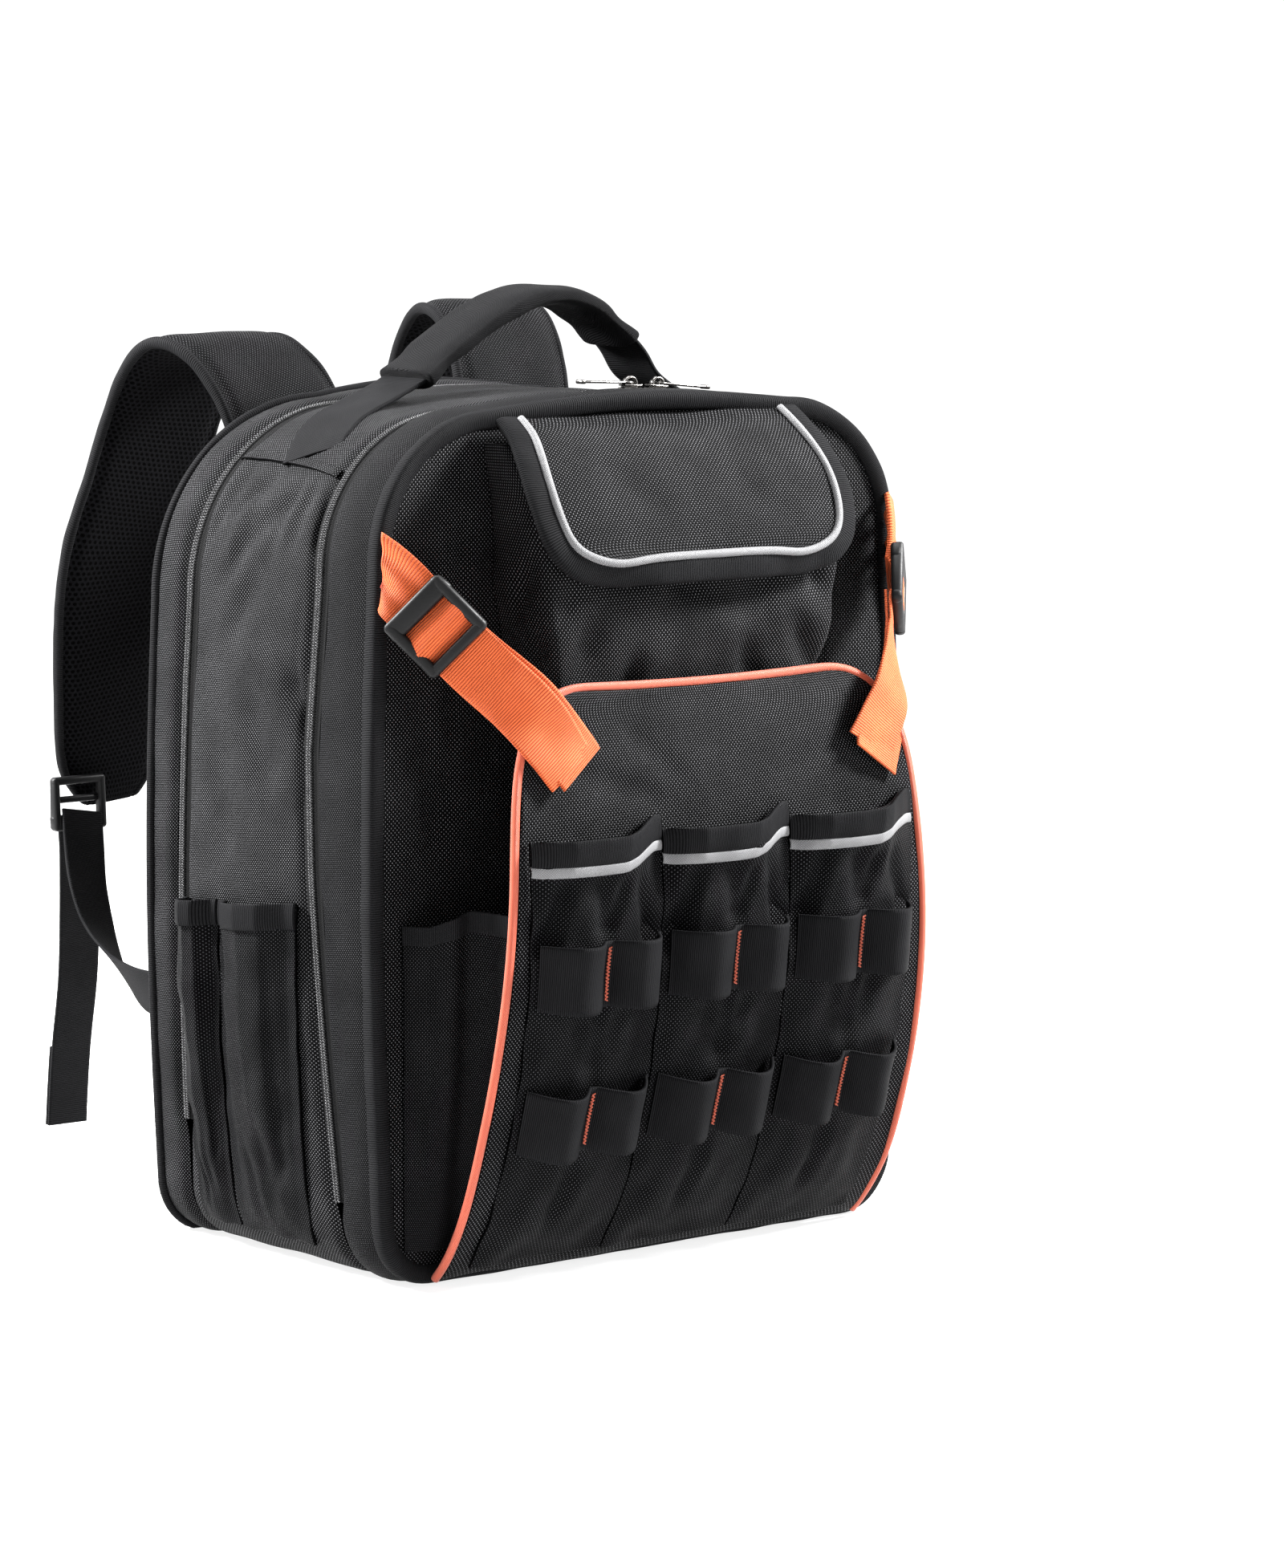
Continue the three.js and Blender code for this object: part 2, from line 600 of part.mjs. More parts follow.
// Tool loops: webbing strips sewn down at both ends and in the middle, with two standing loops each.
const ARCH_STEPS = 6;
const LOOP_COLUMNS = [];
for (const [from, to] of LOOP_ARCHES) {
  for (let k = 0; k <= ARCH_STEPS; k++) {
    const arch = Math.sin((Math.PI * k) / ARCH_STEPS) ** LOOP_FULLNESS;
    LOOP_COLUMNS.push([lerp(from, to, k / ARCH_STEPS), arch]);
  }
}
LOOP_COLUMNS.unshift([LOOP_MARGIN / POCKET_PITCH, 0]);
LOOP_COLUMNS.push([1 - LOOP_MARGIN / POCKET_PITCH, 0]);
for (const [rowName, height] of LOOP_ROWS) {
  for (let i = 0; i < POCKET_COUNT; i++) {
    const left = (i - POCKET_COUNT / 2) * POCKET_PITCH;
    const grid = [-LOOP_HEIGHT / 2, LOOP_HEIGHT / 2].map((rise) => LOOP_COLUMNS.map(([share, arch]) => {
      const seat = pocketBulge(height + rise, share) + POCKET_CLOTH + LOOP_LIFT;
      return offBoard(left + share * POCKET_PITCH, height + rise, seat + arch * LOOP_DEPTH);
    }));
    add(`${rowName}_loop_${i + 1}`, sheet(grid, WEBBING), BLACK_WEBBING);
  }
}

// Pleated gussets between the door and the board, with a webbing hem on the top edge.
// Columns: [distance from the middle as a share of the board's half width, share of the lean].
const GUSSET_COLUMNS = [[1.13, 0], [1.02, 0.36], [0.955, 0.38]];
const gussetHeights = [GUSSET_FOOT, ...BOARD_ROWS.slice(2, 6).map(([rise]) => rise * BOARD_HEIGHT)];
const gussetGrid = [...gussetHeights, GUSSET_TOP].map((height, r) => {
  const share = height / BOARD_HEIGHT;
  const lean = readTable(BOARD_ROWS, share, 1) * BOARD_LEAN;
  const edge = readTable(BOARD_ROWS, share, 2) * BOARD_HALF_WIDTH - GUSSET_TUCK;
  const rise = r === gussetHeights.length ? GUSSET_PLEAT_RISE : 0;
  return [
    ...GUSSET_COLUMNS.map(([out, depth], c) =>
      V(-out * BOARD_HALF_WIDTH, FRONT_Y - GAP - depth * lean, height + (c > 0 ? rise : 0))),
    V(-edge, FRONT_Y - lean + 2 * GAP, height + rise),
  ];
});
const gussetSpan = GUSSET_TOP - gussetHeights[gussetHeights.length - 1];
const gussetHem = topRows(offsetGrid(gussetGrid, POCKET_CLOTH + 2 * GAP), [1 - GUSSET_HEM / gussetSpan, 1]);
for (const [side, turn] of [['left', (g) => g], ['right', mirrorGrid]]) {
  add(`board_gusset_${side}`, sheet(turn(gussetGrid), POCKET_CLOTH), NYLON);
  add(`gusset_hem_${side}`, sheet(turn(gussetHem), WEBBING), BLACK_WEBBING);
}

// Side pockets: two on each side of the main shell, from the foot up.
// Bulges: share of the bulge at each station from the foot up. Columns: [share of the width, share of the bulge].
const SIDE_POCKET_BULGES = [0, 0.2, 0.35, 0.5, 0.85, 1];
const SIDE_POCKET_COLUMNS = [[0, 0], [0.1, 0], [0.27, 0.8], [0.5, 1], [0.73, 0.8], [0.9, 0], [1, 0]];
const SIDE_POCKETS = [['front', SIDE_POCKET_FRONT], ['rear', SIDE_POCKET_REAR]];
for (const [place, [nearY, farY]] of SIDE_POCKETS) {
  const rowAt = (half, bulge) => SIDE_POCKET_COLUMNS.map(([share, out]) =>
    outlinePoint(half, -1, lerp(farY, nearY, share), -GAP - out * bulge * SIDE_POCKET_BULGE));
  const grid = SIDE_POCKET_BULGES.map((bulge, step) => rowAt(FIRST_FOOT + step, bulge));
  const above = rowAt(FIRST_FOOT + SIDE_POCKET_BULGES.length, 1);
  const rise = (SIDE_POCKET_TOP - grid[grid.length - 1][0].z) / (above[0].z - grid[grid.length - 1][0].z);
  grid.push(grid[grid.length - 1].map((p, c) => p.clone().lerp(above[c], rise)));
  const face = offsetGrid(grid, POCKET_CLOTH + 2 * GAP);
  const hemSpan = face[face.length - 1][0].z - face[face.length - 2][0].z;
  const hemRows = topRows(face, [1 - SIDE_HEM / hemSpan, 1]);
  for (const [side, turn] of [['left', (g) => g], ['right', mirrorGrid]]) {
    add(`side_pocket_${side}_${place}`, sheet(turn(grid), POCKET_CLOTH), NYLON);
    add(`side_hem_${side}_${place}`, sheet(turn(hemRows), WEBBING), BLACK_WEBBING);
  }
}

// Moulded ladder lock: a rounded frame with two slots and a bar between them
function lockGeometry(width, length) {
  const corners = [[1, -1], [1, 1], [-1, 1], [-1, -1]];
  const outline = new THREE.Shape(corners.flatMap(([sx, sy], i) => [0, 1, 2].map((step) => {
    const angle = (i - 1) * (Math.PI / 2) + (step * Math.PI) / 4;
    return new THREE.Vector2(sx * (width / 2 - LOCK_BAR) + LOCK_BAR * Math.cos(angle),
      sy * (length / 2 - LOCK_BAR) + LOCK_BAR * Math.sin(angle));
  })));
  const slot = (length - 3 * LOCK_BAR) / 2;
  let frame = toManifold(new THREE.ExtrudeGeometry(outline, { depth: LOCK_THICKNESS, bevelEnabled: false }));
  for (const side of [-1, 1]) {
    const cut = new THREE.BoxGeometry(width - 2 * LOCK_BAR, slot, 3 * LOCK_THICKNESS);
    cut.translate(0, (side * (slot + LOCK_BAR)) / 2, LOCK_THICKNESS / 2);
    frame = frame.subtract(toManifold(cut));
  }
  return toGeometry(frame);
}

// Puts a local geometry on a frame: local x across, y along, z out.
function onFrame(geometry, frame, lift, mirrored) {
  const basis = new THREE.Matrix4().makeBasis(frame.across, frame.along, frame.out);
  if (basis.determinant() < 0) basis.makeBasis(frame.across, frame.along.clone().negate(), frame.out);
  basis.setPosition(frame.at.clone().addScaledVector(frame.out, lift));
  const solid = geometry.clone().applyMatrix4(basis);
  if (!mirrored) return solid;
  solid.scale(-1, 1, 1);
  solid.setIndex(Array.from(solid.index.array).reverse());
  return solid;
}

// Orange compression straps: from the binding of the door to the top corners of the board.
// Both are given as on the left. The right one starts higher and nearer the middle.
// Ends: [share of the body's half width, share of its height], [share of the board's half width and height].
// Between them each point is the share of the way across, forwards and down.
const COMPRESSION_ENDS = {
  left: [[1, 0.836], [0.713, 0.876]],
  right: [[0.976, 0.847], [0.72, 0.866]],
};
const COMPRESSION_ROUTES = {
  left: [[0, 0, 0], [0.086, 0.131, 0.11], [0.214, 0.302, 0.25], [0.429, 0.591, 0.47], [0.686, 0.915, 0.71], [1, 1, 1]],
  right: [[0, 0, 0], [0.092, 0.114, 0.111], [0.215, 0.276, 0.259], [0.4, 0.523, 0.472], [0.677, 0.898, 0.713],
    [1, 1, 1]],
};
const COMPRESSION_STEPS = 14;
const alongAxes = (from, to, [x, y, z]) => V(lerp(from.x, to.x, x), lerp(from.y, to.y, y), lerp(from.z, to.z, z));
const COMPRESSION_LOCK_STEP = 4;
const COMPRESSION_LOCK_CLEAR = 0.5;
const COMPRESSION_ROOT_CLEAR = 0.7;
const COMPRESSION_END_CLEAR = 1;
const COMPRESSION_ACROSS = { root: V(-0.45, 0.42, -0.78), end: V(-0.83, -0.05, -0.56) };
function compressionFrames(side) {
  const [[rootOut, rootRise], [endOut, endRise]] = COMPRESSION_ENDS[side];
  const root = V(-rootOut * HALF_WIDTH, FRONT_Y - BINDING_PROUD - COMPRESSION_ROOT_CLEAR, rootRise * BODY_HEIGHT);
  const end = V(-endOut * BOARD_HALF_WIDTH, FRONT_Y - BOARD_LEAN - COMPRESSION_END_CLEAR, endRise * BOARD_HEIGHT);
  const points = COMPRESSION_ROUTES[side].map((shares) => alongAxes(root, end, shares));
  const path = smoothPath(points, COMPRESSION_STEPS);
  const frames = pathFrames(path, (share) =>
    COMPRESSION_ACROSS.root.clone().lerp(COMPRESSION_ACROSS.end, clamp((share - 0.5) * 2, 0, 1)));
  frames[0].across.set(0, 0, -1);
  frames[1].across.set(-0.2, 0.18, -0.96);
  return frames;
}
for (const [side, turn] of [['left', (f) => f], ['right', mirrorFrames]]) {
  const frames = compressionFrames(side);
  add(`compression_strap_${side}`, sweep(turn(frames), flatSection(COMPRESSION_WIDTH, WEBBING)),
    ORANGE_WEBBING);
  add(`compression_lock_${side}`, onFrame(lockGeometry(LOCK_WIDTH, LOCK_LENGTH), frames[COMPRESSION_LOCK_STEP],
    WEBBING + COMPRESSION_LOCK_CLEAR, side === 'right'), PLASTIC);
}

// Carry handle: webbing that lies on both shoulders of the main shell and stands up between them.
// It leans a little to one side. Free points: [share of its reach across the bag, share of its rise].
const HANDLE_ARCH = [
  [-0.955, 0.075], [-0.75, 0.226], [-0.591, 0.415], [-0.432, 0.585], [-0.193, 0.811], [0.045, 0.962],
  [0.216, 1], [0.409, 0.962], [0.591, 0.811], [0.852, 0.472], [1, 0.17],
];
const handleEdges = [HANDLE_CENTRE_Y + HANDLE_WIDTH / 2, HANDLE_CENTRE_Y - HANDLE_WIDTH / 2];
const handleSeat = (sign) => [3, 4, 5].map((step) =>
  handleEdges.map((y) => outlinePoint(FIRST_SHOULDER + step, sign, y, -GAP)));
const handleGrid = [
  ...handleSeat(-1),
  ...HANDLE_ARCH.map(([reach, rise]) => handleEdges.map((y) =>
    V(reach * HANDLE_REACH, y, BODY_HEIGHT + rise * HANDLE_RISE))),
  ...handleSeat(1).reverse(),
];
add('carry_handle', sheet(handleGrid, WEBBING), BLACK_WEBBING);

// Padded grip wrapped round the middle of the handle
const handleNormals = gridNormals(handleGrid).map((row) => row[0]);
const gripFrames = handleGrid.map((row, r) => {
  const at = row[0].clone().lerp(row[1], 0.5).addScaledVector(handleNormals[r], WEBBING / 2);
  const across = row[0].clone().sub(row[1]).normalize();
  return { at, across, out: handleNormals[r] };
}).filter((frame) => Math.abs(frame.at.x - GRIP_CENTRE) < GRIP_HALF_LENGTH);
const gripRing = (section) => (frame) => section.map(([a, o]) =>
  frame.at.clone().addScaledVector(frame.across, a).addScaledVector(frame.out, o));
const gripOuter = paddedSection(HANDLE_WIDTH + 2 * GRIP_OVERHANG, GRIP_THICKNESS);
const gripInner = paddedSection(HANDLE_WIDTH + 2 * GRIP_CLEAR, WEBBING + 2 * GRIP_CLEAR, 0.5);
add('handle_grip', ringBody([
  ...gripFrames.map(gripRing(gripOuter)),
  ...gripFrames.slice().reverse().map(gripRing(gripInner)),
], true), PADDED);

// Padded shoulder straps: up from the back panel, over, and down behind the wearer's side of the bag.
// Points: [share of its reach behind the back panel, share of body height, share of its drift outwards].
const STRAP_ROUTE = [
  [0.046, 0.935, 0], [0.053, 0.977, 0.061], [0.112, 1.023, 0.242], [0.224, 1.058, 0.455],
  [0.362, 1.062, 0.606], [0.487, 1.03, 0.667], [0.592, 0.965, 0.727], [0.671, 0.891, 0.848],
  [0.763, 0.81, 1], [0.836, 0.738, 0.97], [0.901, 0.657, 0.848], [0.961, 0.583, 0.697],
  [0.993, 0.532, 0.606], [1, 0.477, 0.545],
];
const STRAP_WIDTHS = [[0, 1], [0.45, 1], [0.8, 0.9], [0.93, 0.86], [0.97, 0.72], [1, 0.45]];
const STRAP_STEPS = 22;
function strapFrames(rise, driftShare) {
  const path = smoothPath(STRAP_ROUTE.map(([back, height, drift], i) => {
    const share = i / (STRAP_ROUTE.length - 1);
    const lift = rise * Math.sin(Math.PI * Math.min(share * 1.4, 1));
    return V(-SHOULDER_STRAP_SPREAD - drift * SHOULDER_STRAP_DRIFT * lerp(driftShare, 1, share),
      BACK_Y + back * SHOULDER_STRAP_REACH, height * BODY_HEIGHT + lift);
  }), STRAP_STEPS);
  const frames = pathFrames(path, () => V(1, 0, 0));
  frames.forEach((frame, i) => frame.across.multiplyScalar(readTable(STRAP_WIDTHS, i / STRAP_STEPS)));
  return frames;
}

// Lower end of each strap: ladder lock, webbing to the foot of the back panel, and a hanging tail.
const leftStrap = strapFrames(0, 1);
const strapEnd = leftStrap[STRAP_STEPS].at;
const strapLockLift = (SHOULDER_STRAP_THICKNESS + LOCK_THICKNESS) / 2 + 3 * GAP;
const strapLockAt = strapEnd.clone().add(V(-STRAP_LOCK_DRIFT, -strapLockLift, 2));
const strapLockFrame = { at: strapLockAt, across: V(1, 0, 0), along: V(0, 0, 1), out: V(0, -1, 0) };
// Webbing: [share of the way out, forwards and down from the lock to the anchor].
// Tail: [share of its drift, share of its swing, share of its drop].
const WEBBING_ROUTE = [
  [0, 0.031, 0.047], [0.079, 0.07, 0.233], [0.263, 0.169, 0.488], [0.368, 0.296, 0.767], [0.579, 0.493, 0.93],
  [0.842, 0.739, 1], [1, 1, 1],
];
const TAIL_ROUTE = [
  [0.09, 0.0625, 0.07], [0.227, 0.125, 0.15], [0.455, 0.292, 0.294], [0.727, 0.563, 0.524], [0.909, 0.813, 0.727],
  [1, 0.958, 0.909], [1, 1, 1],
];
const WEBBING_STEPS = 16;
const TAIL_STEPS = 14;
const anchor = V(-HALF_WIDTH + LOWER_ANCHOR_INSET, BACK_Y + 1, LOWER_ANCHOR_HEIGHT);
const webbingPath = smoothPath(WEBBING_ROUTE.map((shares) => alongAxes(strapLockAt, anchor, shares)), WEBBING_STEPS);
const webbingFrames = pathFrames(webbingPath, (share) => V(1, 0, 0).lerp(V(0.1, 0, -1), share));
const tailPath = smoothPath(TAIL_ROUTE.map(([drift, swing, drop]) =>
  strapLockAt.clone().add(V(drift * TAIL_DRIFT, swing * TAIL_SWING, -drop * TAIL_DROP))), TAIL_STEPS);
const tailFrames = pathFrames(tailPath, () => V(1, 0, 0));
const STRAP_SIDES = [
  ['left', (f) => f, leftStrap],
  ['right', mirrorFrames, strapFrames(RIGHT_STRAP_RISE, RIGHT_STRAP_DRIFT)],
];
for (const [side, turn, frames] of STRAP_SIDES) {
  add(`shoulder_strap_${side}`, sweep(turn(frames),
    paddedSection(SHOULDER_STRAP_WIDTH, SHOULDER_STRAP_THICKNESS)), PADDED);
  add(`strap_lock_${side}`, onFrame(lockGeometry(STRAP_LOCK_WIDTH, STRAP_LOCK_LENGTH), strapLockFrame,
    -LOCK_THICKNESS / 2, side === 'right'), PLASTIC);
  add(`lower_webbing_${side}`, sweep(turn(webbingFrames), flatSection(LOWER_WEBBING_WIDTH, WEBBING)),
    BLACK_WEBBING);
  add(`strap_tail_${side}`, sweep(turn(tailFrames), flatSection(LOWER_WEBBING_WIDTH, WEBBING)), BLACK_WEBBING);
}

// Zip sliders with a bridge, and a metal tab hinged under each bridge

// Height and slope of the front zip's coil above a place on the top of the bag.
const zipLine = HALF_STATIONS.map((_, half) => outlinePoint(half, 1, seamDepth(FRONT_SEAM, half), -ZIP_COIL_HEIGHT))
  .filter((_, half) => half >= FIRST_SHOULDER)
  .reverse()
  .map((p) => [p.x, p.z, p.y]);
const zipSlope = (x) => Math.atan2(readTable(zipLine, x - 1) - readTable(zipLine, x + 1), 2);

function sliderSolid() {
  const body = new THREE.BoxGeometry(SLIDER_LENGTH, SLIDER_WIDTH, SLIDER_HEIGHT);
  body.translate(0, 0, SLIDER_HEIGHT / 2);
  const arch = new THREE.Shape();
  const half = BRIDGE_LENGTH / 2;
  const thick = BRIDGE_THICKNESS;
  const foot = -BRIDGE_SINK;
  arch.moveTo(-half, foot).lineTo(-half, BRIDGE_RISE - thick).lineTo(-half + thick, BRIDGE_RISE);
  arch.lineTo(half - thick, BRIDGE_RISE).lineTo(half, BRIDGE_RISE - thick).lineTo(half, foot);
  arch.lineTo(half - thick, foot).lineTo(half - thick, BRIDGE_RISE - thick);
  arch.lineTo(-half + thick, BRIDGE_RISE - thick).lineTo(-half + thick, foot);
  const bridge = new THREE.ExtrudeGeometry(arch, { depth: BRIDGE_WIDTH, bevelEnabled: false });
  bridge.rotateX(Math.PI / 2).translate(0, BRIDGE_WIDTH / 2, SLIDER_HEIGHT);
  return toGeometry(toManifold(body).add(toManifold(bridge)));
}

function tabSolid() {
  const start = -TAB_THICKNESS / 2;
  const half = TAB_WIDTH / 2;
  const shape = new THREE.Shape();
  shape.moveTo(start, -half + TAB_NECK).lineTo(TAB_LENGTH - half, -half + TAB_TAPER);
  shape.absarc(TAB_LENGTH - half, 0, half - TAB_TAPER, -Math.PI / 2, Math.PI / 2);
  shape.lineTo(start, half - TAB_NECK);
  const slot = new THREE.Path();
  const slotHalf = BRIDGE_WIDTH / 2 + TAB_SLOT_PLAY;
  slot.moveTo(-start, -slotHalf).lineTo(-start, slotHalf);
  slot.lineTo(TAB_SLOT, slotHalf).lineTo(TAB_SLOT, -slotHalf);
  shape.holes.push(slot);
  const plate = new THREE.ExtrudeGeometry(shape, { depth: TAB_THICKNESS, bevelEnabled: false, curveSegments: 6 });
  return plate.translate(0, 0, -TAB_THICKNESS / 2);
}

SLIDER_PLACES.forEach((x, i) => {
  const slope = zipSlope(x);
  const seat = V(x, readTable(zipLine, x, 2), readTable(zipLine, x));
  const out = V(Math.sin(slope), 0, Math.cos(slope));
  const slider = add(`zip_slider_${i + 1}`, sliderSolid(), DARK_METAL);
  slider.position.copy(seat).addScaledVector(out, GAP);
  slider.rotation.y = slope;
  const tab = add(`zip_pull_${i + 1}`, tabSolid(), DARK_METAL);
  tab.position.copy(seat).addScaledVector(out, GAP + SLIDER_HEIGHT + HINGE_RISE);
  tab.rotation.set(0, slope, i === 0 ? Math.PI : 0, 'YZX');
});

export default group;
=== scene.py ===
# Tool backpack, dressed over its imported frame.
# Blender units are metres, +Z is up and the front of the bag is towards -Y.
import bisect
from math import copysign, cos, exp, pi, radians, sin

import bmesh
import bpy
from mathutils import Matrix, Vector, noise


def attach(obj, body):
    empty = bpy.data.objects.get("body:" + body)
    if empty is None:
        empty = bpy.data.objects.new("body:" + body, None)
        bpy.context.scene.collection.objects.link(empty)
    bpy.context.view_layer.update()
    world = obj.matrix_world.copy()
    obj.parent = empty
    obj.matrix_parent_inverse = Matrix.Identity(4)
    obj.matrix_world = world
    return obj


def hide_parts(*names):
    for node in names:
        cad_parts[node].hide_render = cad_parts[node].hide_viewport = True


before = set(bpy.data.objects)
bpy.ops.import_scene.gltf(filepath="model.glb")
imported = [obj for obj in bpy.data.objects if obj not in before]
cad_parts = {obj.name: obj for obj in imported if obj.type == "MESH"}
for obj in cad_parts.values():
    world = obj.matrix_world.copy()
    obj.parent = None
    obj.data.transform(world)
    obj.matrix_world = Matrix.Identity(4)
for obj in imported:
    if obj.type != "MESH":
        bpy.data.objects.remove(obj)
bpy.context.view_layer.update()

# View: the camera stands to the left of the front and a little above the bag, far away with a long lens.
# The studio is a pale sweep of floor and wall, with wide soft lights over it and beside it.
VIEW_TURN = radians(39.38)
VIEW_DROP = radians(7.06)
VIEW_DISTANCE = 2.8056
VIEW_AIM_ACROSS = 0.0612
VIEW_AIM_HEIGHT = 0.2316
LENS = 123.16
FLOOR_RADIUS = 6
SWEEP_RADIUS = 2.5
SWEEP_HEIGHT = 9
LIGHT_AIM = (0, 0, 0.25)
LIGHTS = [
    ("overhead", (0.1, 0.3, 2.2), 1.1, 50),
    ("left", (-1.05, 0.95, 1.25), 0.5, 150),
    ("right", (1.5, -0.85, 1.45), 0.5, 190),
]
scene = bpy.context.scene


def put(name, data):
    thing = bpy.data.objects.new(name, data)
    scene.collection.objects.link(thing)
    return thing


def aim_along(thing, place, ahead):
    thing.location = place
    thing.rotation_euler = ahead.to_track_quat("-Z", "Y").to_euler()


def shaped(name, shape):
    """Turns a finished bmesh into a smooth object."""
    mesh = bpy.data.meshes.new(name)
    shape.to_mesh(mesh)
    shape.free()
    mesh.shade_smooth()
    return put(name, mesh)


ahead = Vector((sin(VIEW_TURN) * cos(VIEW_DROP), cos(VIEW_TURN) * cos(VIEW_DROP), -sin(VIEW_DROP)))
sideways = Vector((cos(VIEW_TURN), -sin(VIEW_TURN), 0))
aim = sideways * VIEW_AIM_ACROSS + Vector((0, 0, VIEW_AIM_HEIGHT))
camera = put("camera", bpy.data.cameras.new("camera"))
camera.data.lens = LENS
camera.data.clip_end = 50
aim_along(camera, aim - ahead * VIEW_DISTANCE, ahead)
scene.camera = camera
scene.view_settings.view_transform = "Standard"

for light_name, place, size, power in LIGHTS:
    light = put(light_name, bpy.data.lights.new(light_name, "AREA"))
    light.data.size = size
    light.data.energy = power
    light.visible_camera = False
    aim_along(light, place, Vector(LIGHT_AIM) - Vector(place))

scene.world = bpy.data.worlds.new("studio")
scene.world.use_nodes = True
background = scene.world.node_tree.nodes["Background"].inputs
background["Color"].default_value = (1, 1, 1, 1)
background["Strength"].default_value = 0.1

curve = [pi / 2 * i / 8 for i in range(1, 9)]
profile = [(0, 0), (FLOOR_RADIUS, 0)]
profile += [(FLOOR_RADIUS + SWEEP_RADIUS * sin(angle), SWEEP_RADIUS * (1 - cos(angle))) for angle in curve]
profile.append((FLOOR_RADIUS + SWEEP_RADIUS, SWEEP_HEIGHT))
sweep = bmesh.new()
corners = [sweep.verts.new((x, 0, z)) for x, z in profile]
lines = [sweep.edges.new(pair) for pair in zip(corners, corners[1:])]
bmesh.ops.spin(sweep, geom=corners + lines, cent=(0, 0, 0), axis=(0, 0, 1), angle=2 * pi, steps=64,
               use_merge=True, use_duplicate=False)
bmesh.ops.remove_doubles(sweep, verts=sweep.verts, dist=0.0001)
bmesh.ops.recalc_face_normals(sweep, faces=sweep.faces)
floor = shaped("sweep", sweep)
paper = bpy.data.materials.new("paper")
paper.use_nodes = True
paper_shader = paper.node_tree.nodes["Principled BSDF"].inputs
paper_shader["Base Color"].default_value = (0.35, 0.35, 0.35, 1)
paper_shader["Roughness"].default_value = 1.0
paper_shader["Specular IOR Level"].default_value = 0.0
paper_shader["Emission Color"].default_value = (1, 1, 1, 1)
paper_shader["Emission Strength"].default_value = 0.82
floor.data.materials.append(paper)

# Main wall: one band of coarse nylon that goes round the sides, the top and the base, between the two zips.
# Its edges are turned in beside the zips, and folds fan out below the seam that crosses it at the handle.
MM = 0.001
HALF_WIDTH = 167
FRONT_Y = -98
BACK_Y = 98
DEPTH = BACK_Y - FRONT_Y
HEIGHT = 432
SIDE_BULGE = 5
TOP_CROWN = 6
RADIUS_FRONT = 70
RADIUS_BACK = 100
FOOT_RADIUS = 30
FRONT_LIFT = 3.5
HALF_OUTLINE = 715
FOOT_FROM, FOOT_SPAN = 0.19, 0.066
WALL_FROM, WALL_SPAN = 0.256, 0.444
SHOULDER_FROM, SHOULDER_SPAN = 0.7, 0.186
TOP_FROM, TOP_SPAN = 0.886, 0.114
SIDES = [("left", -1), ("right", 1)]
WALL_BULGE = 4.5
EDGE_TURN = 2.6
EDGE_ROLL = 3.2
CLOTH = 2
ZIP_HALF = 6
FRONT_ZIP_FOOT = 39.5
REAR_ZIP_FOOT = 65
FRONT_SEAM = [[0, -0.65], [0.28, -0.54], [0.46, -0.47], [0.6, -0.44], [0.78, -0.49], [1, -0.51]]
REAR_SEAM = [[0, 0.72], [0.7, 0.67], [1, 0.63]]
WEAVE_PITCH = 0.00098
NYLON_DARK = (0.0005, 0.0005, 0.0006, 1)
NYLON_CROWN = (0.004, 0.004, 0.0046, 1)
# Painted highlight: the light colour that the crowns of the threads are painted.
NYLON_PAINTED_GLINT = (0.185, 0.185, 0.193, 1)
# A dimmer painted highlight, for darker copies of the weave that paint in shade where less light falls.
SHADED_PAINTED_GLINT = (0.072, 0.072, 0.076, 1)
WALL_FOLDS = [
    [(-156, -13, 391), (-168, 34, 346), 5, 5.4],
    [(-149, 11, 398), (-160, 41, 378), 4.5, 4.6],
    [(-153, -14, 396), (-166, -4, 352), 5, 5.6],
    [(-155, -40, 396), (-165, -44, 362), 4.5, 4.4],
    [(-143, 37, 402), (-163, 52, 362), 4.5, 4.4],
    [(-153, -28, 397), (-164, -24, 366), 4, 3.8],
    [(-156, 20, 388), (-167, 30, 352), 4, -3.4],
    [(-154, -22, 396), (-165, -15, 362), 3.5, -3.2],
    [(-169, -26, 304), (-170, -46, 270), 7, 5.6],
    [(-168, 2, 352), (-170, 24, 316), 8, 4.2],
    [(-143, 40, 403), (-152, -44, 401), 1.6, 1.2],
    [(-171, 4, 292), (-172, -14, 240), 10, 3.6],
    [(-171, 30, 270), (-172, 20, 200), 12, 3.0],
    [(-168, -37, 350), (-171, -33, 296), 2, 0.8],
    [(156, -13, 391), (168, 34, 352), 4.5, 2.6],
    [(153, -14, 396), (165, -6, 365), 4.5, 2.6],
    [(143, 37, 402), (162, 52, 372), 4.5, 2.0],
    [(169, -28, 300), (170, -48, 280), 6, 2.4],
    [(168, 2, 352), (170, 24, 326), 6, 1.6],
    [(171, 20, 290), (172, 0, 230), 12, 2.2],
    [(-120, -44, 432), (-60, -46, 437), 5, 1.2],
    [(70, -44, 437), (124, -42, 430), 5, 1.4],
]


def blend(a, b, share):
    return a + (b - a) * share


def within(value, low=0, high=1):
    return max(low, min(high, value))


def bell(value):
    """1 at 0, and falls away smoothly on both sides."""
    return exp(-(value**2))


def read(rows, place, column=1):
    """Reads a value from rows of [place, value, ...] in straight steps."""
    if place <= rows[0][0]:
        return rows[0][column]
    for before, after in zip(rows, rows[1:]):
        if place <= after[0]:
            return blend(before[column], after[column], (place - before[0]) / (after[0] - before[0]))
    return rows[-1][column]


